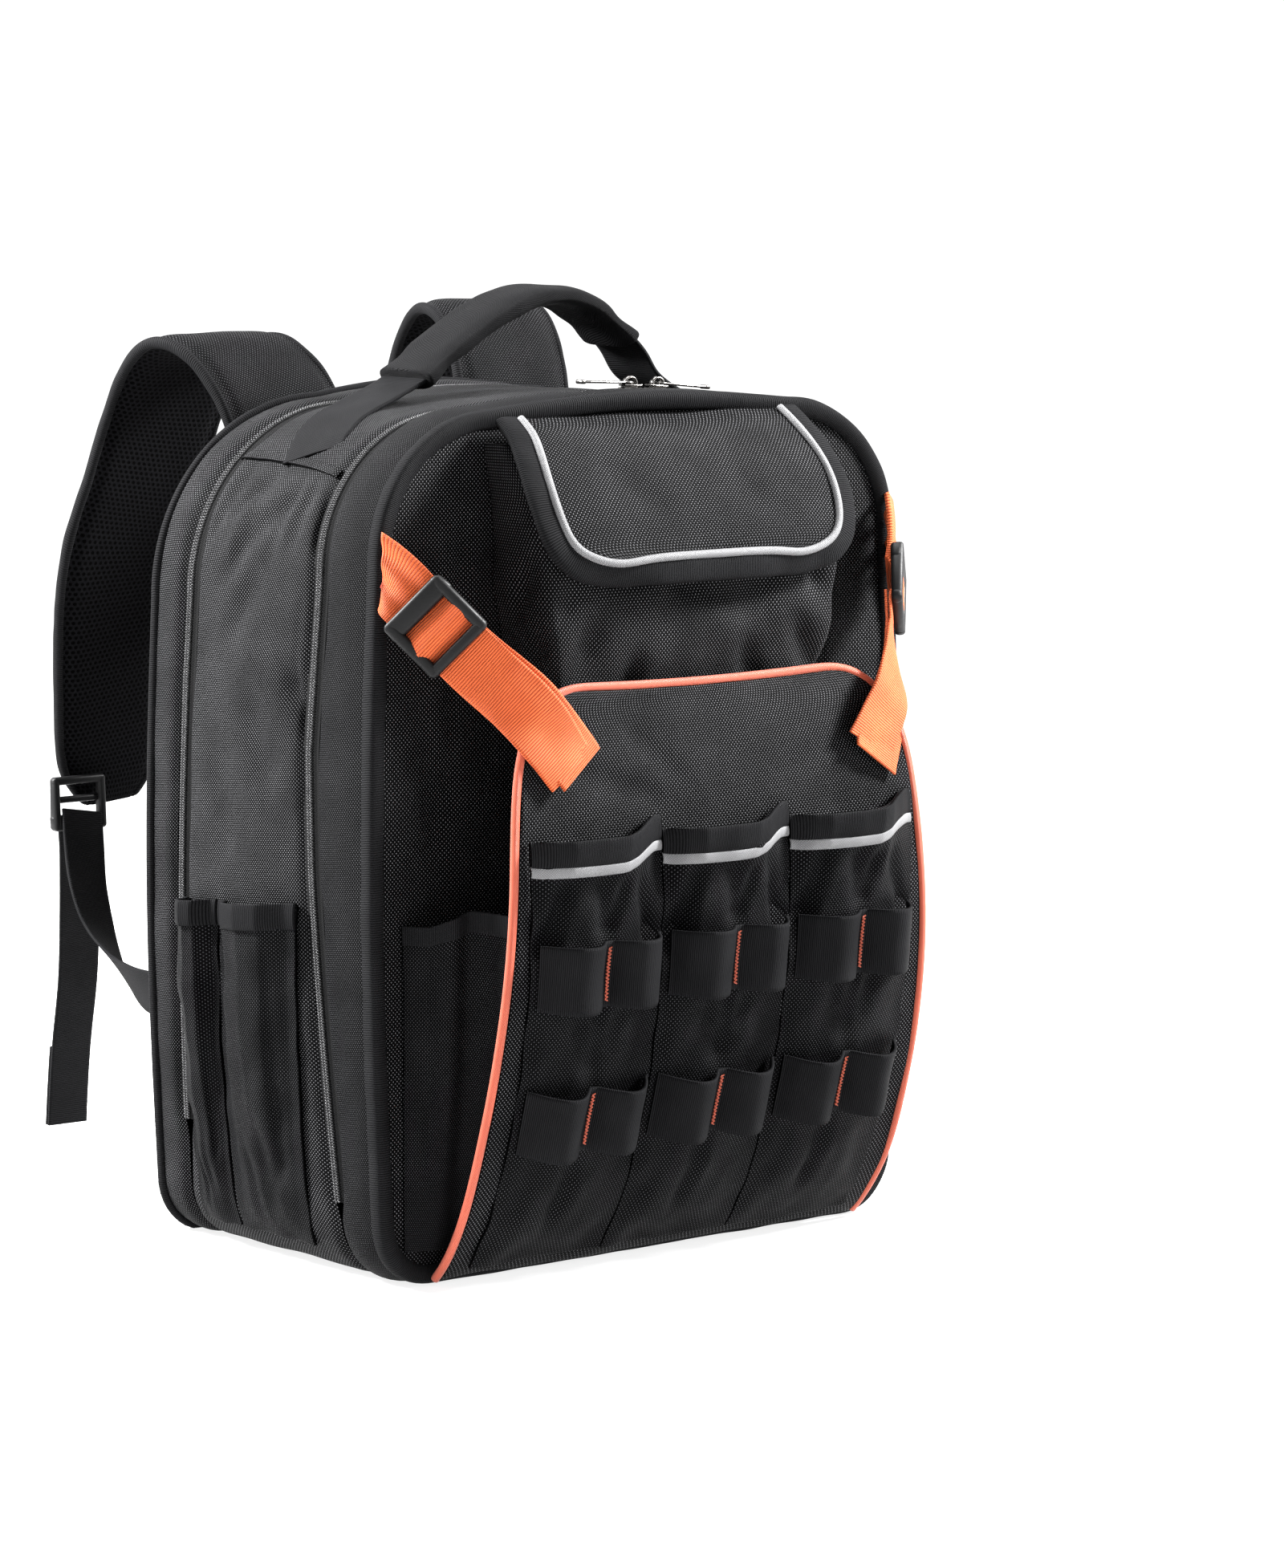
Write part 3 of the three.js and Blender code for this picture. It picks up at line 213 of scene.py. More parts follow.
def flowing(rows, place, column=1):
    """Reads rows as read does, on a smooth curve through the values."""
    if place <= rows[0][0]:
        return rows[0][column]
    for i in range(len(rows) - 1):
        if place <= rows[i + 1][0]:
            a, b = rows[i], rows[i + 1]
            before = rows[i - 1] if i else a
            after = rows[i + 2] if i + 2 < len(rows) else b
            span = b[0] - a[0]
            slope_a = (b[column] - before[column]) / (b[0] - before[0]) * span
            slope_b = (after[column] - a[column]) / (after[0] - a[0]) * span
            t = (place - a[0]) / span
            return (
                (2 * t**3 - 3 * t**2 + 1) * a[column] + (t**3 - 2 * t**2 + t) * slope_a
                + (3 * t**2 - 2 * t**3) * b[column] + (t**3 - t**2) * slope_b
            )
    return rows[-1][column]


def outline(distance, y, inset=0.0):
    """Point of the body's outline, in millimetres: distance goes from the middle of the base, 0, up the right
    side to the middle of the top, 1, and down the left side to the base again, 2."""
    side = 1 if distance <= 1 else -1
    distance = distance if distance <= 1 else 2 - distance
    radius = blend(RADIUS_FRONT, RADIUS_BACK, within((y - FRONT_Y) / DEPTH))
    base = FRONT_LIFT * within((FRONT_Y * 0.6 - y) / (-FRONT_Y * 0.4))
    low = base + FOOT_RADIUS
    high = HEIGHT - radius
    if distance < FOOT_FROM:
        x, z = distance / FOOT_FROM * (HALF_WIDTH - FOOT_RADIUS), base + inset
    elif distance < WALL_FROM:
        angle = (distance - FOOT_FROM) / FOOT_SPAN * pi / 2
        x = HALF_WIDTH - FOOT_RADIUS + (FOOT_RADIUS - inset) * sin(angle)
        z = low - (FOOT_RADIUS - inset) * cos(angle)
    elif distance < SHOULDER_FROM:
        share = (distance - WALL_FROM) / WALL_SPAN
        x = HALF_WIDTH - inset + SIDE_BULGE * sin(pi * share)
        z = blend(low, high, share)
    elif distance < TOP_FROM:
        angle = (distance - SHOULDER_FROM) / SHOULDER_SPAN * pi / 2
        x = HALF_WIDTH - radius + (radius - inset) * cos(angle)
        z = high + (radius - inset) * sin(angle)
    else:
        share = (distance - TOP_FROM) / TOP_SPAN
        x = (1 - share) * (HALF_WIDTH - radius)
        z = HEIGHT - inset + TOP_CROWN * sin(share * pi / 2)
    return Vector((side * x, y, z))


def seam_y(seam, distance):
    return read(seam, outline(distance, 0).z / HEIGHT) * DEPTH / 2


def rim_y(seam, foot, distance, side):
    """The cloth edge beside a zip: it closes to a slit below the zip's foot."""
    height = outline(distance, 0).z
    clear = blend(0.3, ZIP_HALF - 1, within((height - foot + 8) / 14))
    return seam_y(seam, distance) + side * clear


def cloth(name, columns, rows, place, size, thickness=CLOTH, closed=False, capped=False, turned=False,
          crowded=0.0, inside=(0, 0, 215), soften=1):
    """A panel of cloth: place(u, v) gives each point of its outer face in millimetres, and size is its flat
    width and height, for the weave. A closed panel joins its two sides, and a capped one is a closed body.
    crowded draws its rows towards its upper and lower edges, and turned lays the weave crosswise."""
    panel = bmesh.new()
    grain = panel.loops.layers.uv.new("grain")
    bmesh.ops.create_grid(panel, x_segments=columns, y_segments=rows, size=0.5, calc_uvs=False)
    for vert in panel.verts:
        v = vert.co.y + 0.5
        vert.co = (vert.co.x + 0.5, blend(v, 0.5 - 0.5 * cos(pi * v), crowded), 0)
    for face in panel.faces:
        for loop in face.loops:
            u = loop.vert.co.x * size[0] * MM
            v = loop.vert.co.y * size[1] * MM
            loop[grain].uv = (v, u) if turned else (u, v)
    for vert in panel.verts:
        vert.co = Vector(place(vert.co.x, vert.co.y)) * MM
    if closed:
        bmesh.ops.remove_doubles(panel, verts=panel.verts, dist=0.02 * MM)
    if capped:
        bmesh.ops.holes_fill(panel, edges=[e for e in panel.edges if e.is_boundary], sides=0)
        bmesh.ops.recalc_face_normals(panel, faces=panel.faces)
    else:
        middle = Vector(inside) * MM
        panel.normal_update()
        facing = sum((f.calc_center_median() - middle).dot(f.normal) * f.calc_area() for f in panel.faces)
        if facing < 0:
            bmesh.ops.reverse_faces(panel, faces=panel.faces)
    piece = shaped(name, panel)
    if soften:
        softener = piece.modifiers.new("soften", "SUBSURF")
        softener.levels = softener.render_levels = soften
        softener.boundary_smooth = "PRESERVE_CORNERS"
    if thickness and not capped:
        wall = piece.modifiers.new("wall", "SOLIDIFY")
        wall.thickness = thickness * MM
        wall.offset = -1
    return piece


def press(piece, folds, lumps=0.0, lump_size=30.0):
    """Presses folds into a panel along its normals: each is [start, end, half width, depth] in millimetres.
    A depth below 0 stands out. lumps adds an uneven lie of that height."""
    panel = bmesh.new()
    panel.from_mesh(piece.data)
    panel.normal_update()
    runs = [(Vector(a), Vector(b) - Vector(a), width, depth) for a, b, width, depth in folds]
    moves = []
    for vert in panel.verts:
        here = vert.co / MM
        depth = lumps * noise.noise(here / lump_size) if lumps else 0.0
        for begin, run, width, fold_depth in runs:
            share = within((here - begin).dot(run) / run.length_squared)
            gap = (here - begin - run * share).length
            if gap < 2.5 * width:
                ends = min(1, 4 * (1 - share) + 0.2, 4 * share + 0.2)
                depth += fold_depth * ends * bell(gap / width)
        moves.append(vert.normal * (-depth * MM))
    for vert, move in zip(panel.verts, moves):
        vert.co += move
    panel.to_mesh(piece.data)
    panel.free()


def fasten(piece, material, node=None, body="bag"):
    """Gives a piece its material and its place in the bag, whose underside lies flat on the floor."""
    for vert in piece.data.vertices:
        vert.co.z = max(vert.co.z, 0)
    piece.data.materials.append(material)
    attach(piece, body)
    if node:
        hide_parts(node)
    return piece


def sew(name, columns, rows, place, size, material, slot, node=None, folds=(), lumps=(0, 30), **cut):
    """A whole piece of cloth, cut, pressed and fastened. lumps is their height and their size."""
    piece = cloth(name, columns, rows, place, size, **cut)
    if folds or lumps[0]:
        press(piece, folds, *lumps)
    return fasten(piece, material, node)


class Wire:
    """A node's output, for use in a sum."""

    def __init__(self, finish, made, output=0):
        self.finish, self.made, self.socket = finish, made, made.outputs[output]

    def maths(self, operation, *values):
        return self.finish.node("ShaderNodeMath", {"operation": operation}, [self, *values])

    def __add__(self, value):
        return self.maths("ADD", value)

    def __sub__(self, value):
        return self.maths("SUBTRACT", value)

    def __rsub__(self, value):
        return self * -1 + value

    def __mul__(self, value):
        return self.maths("MULTIPLY", value)

    def __truediv__(self, value):
        return self.maths("DIVIDE", value)

    def __pow__(self, value):
        return self.maths("POWER", value)

    def floor(self):
        return self.maths("FLOOR")

    def fraction(self):
        return self.maths("FRACT")

    def wave(self):
        """A row of round ridges, one for each whole step."""
        return (self * pi).maths("SINE").maths("ABSOLUTE")

    def every_other(self):
        return self.floor().maths("FLOORED_MODULO", 2.0)

    def above(self, level):
        return (self - level).maths("MAXIMUM", 0.0)

    def capped(self):
        return self.maths("MINIMUM", 1.0)


class Finish:
    """A material, built one node at a time."""

    def __init__(self, name, specular, roughness=0.6, sheen=0.0, metallic=0.0):
        self.material = bpy.data.materials.new(name)
        self.material.use_nodes = True
        self.tree = self.material.node_tree
        self.shader = self.tree.nodes["Principled BSDF"].inputs
        self.shader["Roughness"].default_value = roughness
        self.shader["Specular IOR Level"].default_value = specular
        self.shader["Sheen Weight"].default_value = sheen
        self.shader["Metallic"].default_value = metallic

    def node(self, kind, settings=None, inputs=(), output=0):
        made = self.tree.nodes.new(kind)
        for key, value in (settings or {}).items():
            setattr(made, key, value)
        pairs = inputs.items() if isinstance(inputs, dict) else enumerate(inputs)
        for key, value in pairs:
            if isinstance(value, Wire):
                self.tree.links.new(value.socket, made.inputs[key])
            else:
                made.inputs[key].default_value = value
        return Wire(self, made, output)

    def mix(self, factor, first, second):
        return self.node("ShaderNodeMix", {"data_type": "RGBA"}, {0: factor, 6: first, 7: second}, 2)

    def grain(self):
        """The lie of the cloth in metres: across and along."""
        flat = self.node("ShaderNodeUVMap", {"uv_map": "grain"})
        across = self.node("ShaderNodeSeparateXYZ", {}, [flat])
        return across, Wire(self, across.made, "Y")

    def cloudy(self, scale, detail=2.0):
        place = self.node("ShaderNodeTexCoord", {}, (), "Object")
        return self.node("ShaderNodeTexNoise", {}, {"Vector": place, "Scale": scale, "Detail": detail})

    def bump(self, height, distance, strength=1.0, under=None):
        inputs = {"Strength": strength, "Distance": distance, "Height": height}
        if under:
            inputs["Normal"] = under
        return self.node("ShaderNodeBump", {}, inputs)

    def join(self, colour, normal=None, roughness=None):
        for socket, wire in (("Base Color", colour), ("Normal", normal), ("Roughness", roughness)):
            if wire:
                self.tree.links.new(wire.socket, self.shader[socket])
        return self.material


def weave_finish(name, pitch, glint, bump=0.0003):
    """Coarse plain weave with painted highlights: the crown of each raised warp thread is painted a light glint
    colour, and the gaps between stay black.
    """
    finish = Finish(name, 0.03)
    across, along = finish.grain()
    turn = ((across / pitch).floor() + (along / pitch).floor()).every_other()
    ridge_across, ridge_along = (across / pitch).wave(), (along / pitch).wave()
    warp = ridge_across * (ridge_along * 0.7 + 0.3)
    weft = ridge_along * (ridge_across * 0.7 + 0.3)
    height = warp * turn + weft * (1 - turn) * 0.6
    clouds = finish.cloudy(45, 4)
    thread = finish.mix((height * (clouds * 0.8 + 0.5)).capped(), NYLON_DARK, NYLON_CROWN)
    # Painted highlight: bright spots painted on the warp crowns, varied by the clouds.
    painted_glint_mask = (height.above(0.55) * turn * (clouds * 2.4 + 0.6)).capped()
    lie = finish.bump(finish.cloudy(60, 2), 0.0014, 0.35)
    normal = finish.bump(height, bump, 0.9, lie)
    return finish.join(finish.mix(painted_glint_mask, thread, glint), normal, 0.62 - height * 0.25)


nylon = weave_finish("black_nylon_weave", WEAVE_PITCH, NYLON_PAINTED_GLINT)
# Darker copy of the weave with dimmer painted highlights: painted shade on the door wall, gussets, side pockets and
# strap faces.
shaded_nylon = weave_finish("black_nylon_shaded_weave", WEAVE_PITCH, SHADED_PAINTED_GLINT)


def wall_bulge(distance, v):
    """How far a side stands out of the outline, over its width from the front zip to the rear one."""
    height = min(distance, 2 - distance)
    ends = within((height - 0.24) * 12) * within((0.77 - height) * 8)
    return WALL_BULGE * sin(pi * within(v)) ** 0.8 * ends


def main_wall_place(u, v, lift=0.0):
    front = rim_y(FRONT_SEAM, FRONT_ZIP_FOOT, 2 * u, 1)
    rear = rim_y(REAR_SEAM, REAR_ZIP_FOOT, 2 * u, -1)
    edge = min(v, 1 - v) * (rear - front)
    turned_in = EDGE_TURN * bell(edge / EDGE_ROLL)
    return outline(2 * u, blend(front, rear, v), turned_in - wall_bulge(2 * u, v) - lift)


sew("main_wall", 250, 28, main_wall_place, (2 * HALF_OUTLINE, 110), nylon, "black_nylon", "main_shell",
    WALL_FOLDS, (1.4, 40), closed=True, crowded=0.75)

# Shoulder seams: the wall's top is cut separately and laps over each side where the shoulder begins.
# The lap is a narrow turned edge of the same nylon, and the handle's ends are sewn under it.
LAP_SHARES = [0.780, 0.796]
LAP_WIDTH = 0.0075
LAP_LIFT = 1.9
for side_name, side in SIDES:

    def lap_place(u, v):
        share = blend(LAP_SHARES[0], LAP_SHARES[1], v) + 0.004 * sin(pi * v)
        middle = share if side > 0 else 2 - share
        low = 1 - u if side > 0 else u
        lift = LAP_LIFT * (0.3 + 0.7 * low)
        return main_wall_place((middle + (u - 0.5) * LAP_WIDTH) / 2, 0.02 + 0.96 * v, lift)

    sew(f"shoulder_lap_{side_name}", 6, 60, lap_place, (6, 100), nylon, "black_nylon", "main_shell",
        WALL_FOLDS, (1.4, 40), thickness=0.9)

# Rear wall: a narrow band of the same nylon round the laptop compartment, between the rear zip and the back.
# A foam edge rounds it, and it is sewn to the back panel under a ribbed binding.


def rear_wall_place(u, v):
    front = rim_y(REAR_SEAM, REAR_ZIP_FOOT, 2 * u, 1)
    depth = blend(front, BACK_Y - 6, v)
    turned_in = 2.2 * bell(v * 8) - 1.5 * sin(pi * v)
    return outline(2 * u, depth, turned_in)


sew("rear_wall", 220, 10, rear_wall_place, (2 * HALF_OUTLINE, 30), nylon, "black_nylon", "rear_gusset",
    lumps=(0.9, 26), closed=True, crowded=0.6)

# Back pad: the firm padded slab on the wearer's side, faced with spacer mesh.
# Sewn channels split it into pads, and its edge is rounded into the rear wall.
BACK_PAD = 10
MESH_PITCH = 0.0034


def mesh_finish(name, pitch):
    """Spacer mesh: staggered rows of small holes through a knitted face."""
    finish = Finish(name, 0.02, roughness=0.8)
    across, along = finish.grain()
    column, row = across / pitch, along / (pitch * 0.8)
    shifted = (column + row.every_other() * 0.5).fraction() - 0.5
    up = row.fraction() - 0.5
    away = (shifted * shifted + up * up * 0.8) ** 0.5
    hole = ((0.36 - away) * 8).above(0.0).capped()
    knit = ((across + along) / 0.0007).wave()
    face = finish.mix(knit, (0.0012, 0.0012, 0.0014, 1), (0.008, 0.008, 0.009, 1))
    return finish.join(finish.mix(hole, face, (0.0005, 0.0005, 0.0005, 1)),
                       finish.bump(1 - hole + knit * 0.12, 0.0008))


spacer_mesh = mesh_finish("black_spacer_mesh", MESH_PITCH)


def back_pad_place(u, v):
    if v < 0.1:
        angle = v / 0.1 * pi / 2
        return outline(2 * u, BACK_Y - BACK_PAD + BACK_PAD * sin(angle), 5 * (1 - cos(angle)) + 0.4)
    share = (v - 0.1) / 0.9
    edge = outline(2 * u, BACK_Y, 5.4)
    return edge.lerp(Vector((0, BACK_Y, HEIGHT / 2)), share) + Vector((0, 2.5 * min(1, share * 8), 0))


def flat_grain(piece):
    """Lays the weave straight up and across a panel that was cut in rings."""
    for loop in piece.data.loops:
        spot = piece.data.vertices[loop.vertex_index].co
        piece.data.uv_layers["grain"].data[loop.index].uv = (spot.x, spot.z)


back_pad = cloth("back_pad", 180, 60, back_pad_place, (2 * HALF_OUTLINE, 230), closed=True, soften=0)
press(back_pad, [
    [(-52, BACK_Y + 2, 96), (-52, BACK_Y + 2, 372), 4, 3.4],
    [(52, BACK_Y + 2, 96), (52, BACK_Y + 2, 372), 4, 3.4],
    [(-118, BACK_Y + 2, 96), (118, BACK_Y + 2, 96), 4, 3.4],
    [(-118, BACK_Y + 2, 372), (118, BACK_Y + 2, 372), 4, 3.4],
], lumps=0.8, lump_size=40)
flat_grain(back_pad)
fasten(back_pad, spacer_mesh, "back_panel")

# Door wall: the padded band of nylon round the door, from the front zip to the binding.
# Its foam makes it round, and it closes on the floor side as the main wall does.


def door_wall_place(u, v):
    rear = rim_y(FRONT_SEAM, FRONT_ZIP_FOOT, 2 * u, -1)
    front = FRONT_Y + 5
    turned_in = EDGE_TURN * bell((1 - v) * 9) - 3.4 * sin(pi * v) ** 0.8 + 0.4
    return outline(2 * u, blend(front, rear, v), turned_in)


sew("door_wall", 240, 16, door_wall_place, (2 * HALF_OUTLINE, 48), shaded_nylon, "black_nylon", "front_shell", [
    [(-167, -66, 330), (-172, -58, 250), 3, 0.8],
    [(-164, -80, 40), (-170, -70, 140), 6, 1.4],
], (1.0, 34), closed=True, crowded=0.6)

# Door panel: the flat nylon front of the door, a little behind its binding.
# The pockets are sewn on it, and it is drawn in beside the top pocket.
PANEL_DROP = 1.5
COARSE_PITCH = 0.00116


def door_panel_place(u, v):
    edge = outline(2 * u, FRONT_Y, 3)
    edge.y = FRONT_Y + PANEL_DROP
    return edge.lerp(Vector((0, FRONT_Y + PANEL_DROP, HEIGHT / 2)), v)


door_panel = cloth("door_panel", 160, 50, door_panel_place, (2 * HALF_OUTLINE, 215), closed=True, soften=0)
press(door_panel, [
    [(-112, FRONT_Y, 390), (-124, FRONT_Y, 250), 5, 2.2],
    [(-140, FRONT_Y, 300), (-128, FRONT_Y, 190), 7, 1.6],
    [(-118, FRONT_Y, 260), (-146, FRONT_Y, 200), 5, 1.4],
    [(112, FRONT_Y, 390), (124, FRONT_Y, 250), 5, 2.2],
    [(140, FRONT_Y, 300), (128, FRONT_Y, 190), 7, 1.6],
], lumps=1.3, lump_size=32)
flat_grain(door_panel)
coarse_nylon = weave_finish("coarse_nylon_weave", COARSE_PITCH, NYLON_PAINTED_GLINT, 0.0004)
fasten(door_panel, coarse_nylon, "front_shell")

# Door binding: ribbed tape folded over the edge where the door's band meets its panel.
# The fold is rolled round and sewn through, so it stands a little proud all the way round.
RIB_PITCH = 0.00112
TAPE_DARK = (0.0004, 0.0004, 0.0005, 1)
BINDING_ROLL = [(-0.6, 7), (-2.8, 7.4), (-4.6, 4.5), (-5.2, 1), (-4.2, -1.8), (-1.5, -2.7), (1.5, -2.6), (5, -1.2)]


def webbing_finish(name, light, dark=TAPE_DARK, pitch=RIB_PITCH, bump=0.00035, sheen=0.0, specular=0.03):
    """Woven tape: round ribs across its width, each a row of slanted threads."""
    finish = Finish(name, specular, sheen=sheen)
    across, along = finish.grain()
    rib = (along / pitch).wave()
    thread = ((across + along * 0.6) / 0.0008).wave()
    height = rib ** 0.7 * (thread * 0.25 + 0.75)
    clouds = finish.cloudy(45, 3)
    colour = finish.mix((height * (clouds * 0.7 + 0.6)).capped(), dark, light)
    return finish.join(colour, finish.bump(height, bump, 0.9), 0.74 - height * 0.2)


black_tape = webbing_finish("black_ribbed_webbing", (0.0135, 0.0135, 0.0145, 1))


def course(points, smooth=True):
    """A line through the points, read by the share of its length. It bends smoothly unless told not to."""
    marks = [Vector(p) for p in points]
    line = [marks[0] * 2 - marks[1]] + marks + [marks[-1] * 2 - marks[-2]]
    spots = []
    for a, b, c, d in zip(line, line[1:], line[2:], line[3:]):
        for i in range(10):
            t = i / 10
            bend = (2 * a - 5 * b + 4 * c - d) * t**2 + (3 * b - a - 3 * c + d) * t**3
            spots.append((2 * b + (c - a) * t + bend) * 0.5 if smooth else b.lerp(c, t))
    spots.append(marks[-1])
    lengths = [0.0]
    for a, b in zip(spots, spots[1:]):
        lengths.append(lengths[-1] + (b - a).length)

    def at(share):
        goal = within(share) * lengths[-1]
        i = min(bisect.bisect_right(lengths, goal), len(spots) - 1)
        step = lengths[i] - lengths[i - 1]
        return spots[i - 1].lerp(spots[i], (goal - lengths[i - 1]) / step if step else 0)

    at.length = lengths[-1]
    return at


binding_section = course(BINDING_ROLL)


def door_binding_place(u, v):
    depth, inset = binding_section(v)
    return outline(2 * u, FRONT_Y + 3 + depth, inset)


sew("door_binding", 240, 12, door_binding_place, (2 * HALF_OUTLINE, 26), black_tape, "black_webbing",
    "front_binding", lumps=(0.5, 18), thickness=1, closed=True, turned=True)

# Rear piping: the ribbed binding that covers the seam between the rear wall and the back pad.
# It is a narrow round cord of tape that runs all the way round.


def rear_binding_place(u, v):
    angle = 2 * pi * u
    return outline(2 * v, BACK_Y - 4.5 + 2.6 * sin(angle), -0.6 + 2.2 * cos(angle))


sew("rear_binding", 10, 320, rear_binding_place, (15, 2 * HALF_OUTLINE), black_tape, "black_webbing",
    "back_panel", closed=True, thickness=0, soften=0)

# Zips: black tape sunk between the two rolled edges of cloth, with two rows of coil down its middle, their shine
# painted into the coil's grey colour.
# Each coil is one nylon wire wound along the tape; the stops that close each end are not drawn.
COIL_PITCH = 1.4
COIL_WIRE = 0.32
COIL_SIDES = 5
COIL_STEPS = 6
finish = Finish("black_zip_tape", 0.1, roughness=0.75)
across, along = finish.grain()
rib = ((along + across * 0.5) / 0.0009).wave()
zip_tape = finish.join(finish.mix(rib, (0.0005, 0.0005, 0.0005, 1), (0.003, 0.003, 0.0034, 1)),
                       finish.bump(rib, 0.0002))
# The black coil is painted grey with lighter cloudy spots: a painted highlight for its shine.
finish = Finish("zip_coil_painted_glint", 0.2)
clouds = finish.cloudy(300, 2)
painted_glint_zip_wire = finish.join(finish.mix(clouds, (0.02, 0.02, 0.02, 1), (0.085, 0.085, 0.088, 1)),
                       roughness=clouds * 0.25 + 0.12)
for zip_name, seam, foot in [("front", FRONT_SEAM, FRONT_ZIP_FOOT), ("rear", REAR_SEAM, REAR_ZIP_FOOT)]:
    straight = HEIGHT - (RADIUS_FRONT + RADIUS_BACK) / 2 - FOOT_RADIUS
    start = WALL_FROM + (foot - FOOT_RADIUS) / straight * WALL_SPAN

    def zip_at(share, across, inset):
        distance = blend(start, 2 - start, share)
        return outline(distance, seam_y(seam, distance) + across, inset)

    def tape_place(u, v):
        across = (2 * u - 1) * (ZIP_HALF + 0.5)
        sink = 2.2 - 0.9 * bell((abs(across) - 3.1) / 0.8)
        return zip_at(v, across, sink)

    length = HALF_OUTLINE * 2 * (1 - start)
    sew(f"zip_tape_{zip_name}", 12, 180, tape_place, (13, length), zip_tape, "zip_coil", f"{zip_name}_zip",
        thickness=1)
    turns = round(length / COIL_PITCH)
    for row, offset in [("a", -1.15), ("b", 1.15)]:

        def coil_place(u, v):
            turn = 2 * pi * turns * v
            ring = 2 * pi * u
            reach = 0.95 + COIL_WIRE * cos(ring)
            across = offset + reach * cos(turn)
            inset = 0.8 - 0.62 * sin(turn) * (1 + COIL_WIRE * cos(ring) / 0.62)
            return zip_at(v + COIL_WIRE * sin(ring) / length, across, inset)

        sew(f"zip_coil_{zip_name}_{row}", COIL_SIDES, turns * COIL_STEPS, coil_place, (2, length), painted_glint_zip_wire,
            "zip_coil", f"{zip_name}_zip", thickness=0, closed=True, soften=0)

# Sliders: die-cast dark nickel, each a wedge-shaped body that straddles the coil under a looped bridge.
# A flat tab with an eye at one end hangs in each bridge and swings over the zip.
SLIDERS = [
    (1, (30.1685, -49.98, 442.3206), 0.0392, -1),
    (2, (48.4052, -49.98, 441.423), 0.0944, 1),
]
HINGE_ABOVE = 4.0
BRIDGE_RADIUS = 3.4
TAB_LENGTH = 34
finish = Finish("dark_nickel", 0.5, metallic=1.0)
clouds = finish.cloudy(220, 4)
nickel = finish.join(finish.mix(clouds, (0.09, 0.085, 0.08, 1), (0.30, 0.29, 0.28, 1)),
                     finish.bump(clouds, 0.0001, 0.3), clouds * 0.3 + 0.12)


def solid(name, shape):
    """Turns a finished bmesh in millimetres into a piece."""
    bmesh.ops.remove_doubles(shape, verts=shape.verts, dist=0.01)
    bmesh.ops.recalc_face_normals(shape, faces=shape.faces)
    bmesh.ops.scale(shape, vec=(MM, MM, MM), verts=shape.verts)
    return shaped(name, shape)


def rounded_box(shape, size, centre, bevel, segments=3):
    """Adds a box with rounded edges to a bmesh."""
    made = bmesh.ops.create_cube(shape, size=1)["verts"]
    bmesh.ops.scale(shape, vec=size, verts=made)
    bmesh.ops.translate(shape, vec=centre, verts=made)
    edges = list(dict.fromkeys(edge for vert in made for edge in vert.link_edges))
    bmesh.ops.bevel(shape, geom=edges, offset=bevel, offset_type="OFFSET", segments=segments, profile=0.5,
                    affect="EDGES", clamp_overlap=True, material=-1)


for number, hinge, slope, way in SLIDERS:
    lie = Matrix.Translation(hinge) @ Matrix.Rotation(slope, 4, "Y") @ Matrix.Diagonal((way, 1, 1, 1))
    slider = bmesh.new()
    rounded_box(slider, (11, 8.6, 1.2), (0, 0, -HINGE_ABOVE + 0.7), 0.5)
    rounded_box(slider, (9, 4, 1.2), (0.6, 0, -HINGE_ABOVE + 1.7), 0.5)
    rounded_box(slider, (10.6, 8, 1.0), (0, 0, -HINGE_ABOVE + 2.6), 0.45)
    for vert in slider.verts:
        vert.co.y *= 1 - 0.26 * within((vert.co.x + 5.5) / 11)
    section = [(-BRIDGE_RADIUS, y, -1) for y in (-1.3, 1.3)]
    foot_edge = slider.edges.new([slider.verts.new(p) for p in section])
    bmesh.ops.spin(slider, geom=[foot_edge, *foot_edge.verts], cent=(0, 0, -1), axis=(0, 1, 0), angle=pi,
                   steps=14, use_merge=False, use_duplicate=False)
    arch_faces = [face for face in slider.faces if all(abs(abs(v.co.y) - 1.3) < 0.01 for v in face.verts)]
    bmesh.ops.solidify(slider, geom=arch_faces, thickness=0.9)
    bmesh.ops.transform(slider, matrix=lie, verts=slider.verts)
    fasten(solid(f"slider_{number}", slider), nickel, f"zip_slider_{number}")

    pull = bmesh.new()

    def eye_place(u, v):
        turn, ring = 2 * pi * v, 2 * pi * u
        reach = 2.7 + 0.75 * cos(ring)
        return Vector((2.4 + 1.15 * reach * cos(turn), reach * sin(turn), 0.75 * sin(ring)))

    eye = cloth(f"pull_eye_{number}", 10, 28, lambda u, v: lie @ eye_place(u, v), (5, 18), closed=True,
                capped=True, soften=0)
    fasten(eye, nickel, f"zip_pull_{number}", body=f"pull_{number}")
    rounded_box(pull, (TAB_LENGTH - 5, 5.2, 1.3), ((TAB_LENGTH + 5) / 2 - 0.6, 0, 0), 0.55)
    for vert in pull.verts:
        vert.co.y *= 1 - 0.3 * sin(pi * within((vert.co.x - 6) / (TAB_LENGTH - 9))) ** 2
    rounded_box(pull, (3.2, 5.6, 2.2), (TAB_LENGTH - 1.6, 0, 0), 0.8)
    bmesh.ops.transform(pull, matrix=lie, verts=pull.verts)
    fasten(solid(f"pull_tab_{number}", pull), nickel, f"zip_pull_{number}", body=f"pull_{number}")

# Top pocket: a pouch of coarse nylon on the upper door, full in the middle and open under the flap.
# It is gathered at its lower corners, where folds run down to its seam.
POCKET_CLOTH = 1.6
TOP_POCKET_DEPTH = 43
TOP_POCKET_ROWS = [
    [0, 0.53, 0.05], [0.14, 0.58, 0.55], [0.29, 0.64, 0.82], [0.42, 0.69, 0.91], [0.59, 0.76, 1],
    [0.76, 0.845, 1], [0.87, 0.9, 0.8], [1, 0.968, 0.3],
]
TOP_POCKET_SECTION = [
    (-100, 0), (-100, 21), (-97, 38), (-88, 43), (-45, 44), (0, 44.3),
    (45, 44), (88, 43), (97, 38), (100, 21), (100, 0),
]
pocket_section = course(TOP_POCKET_SECTION)


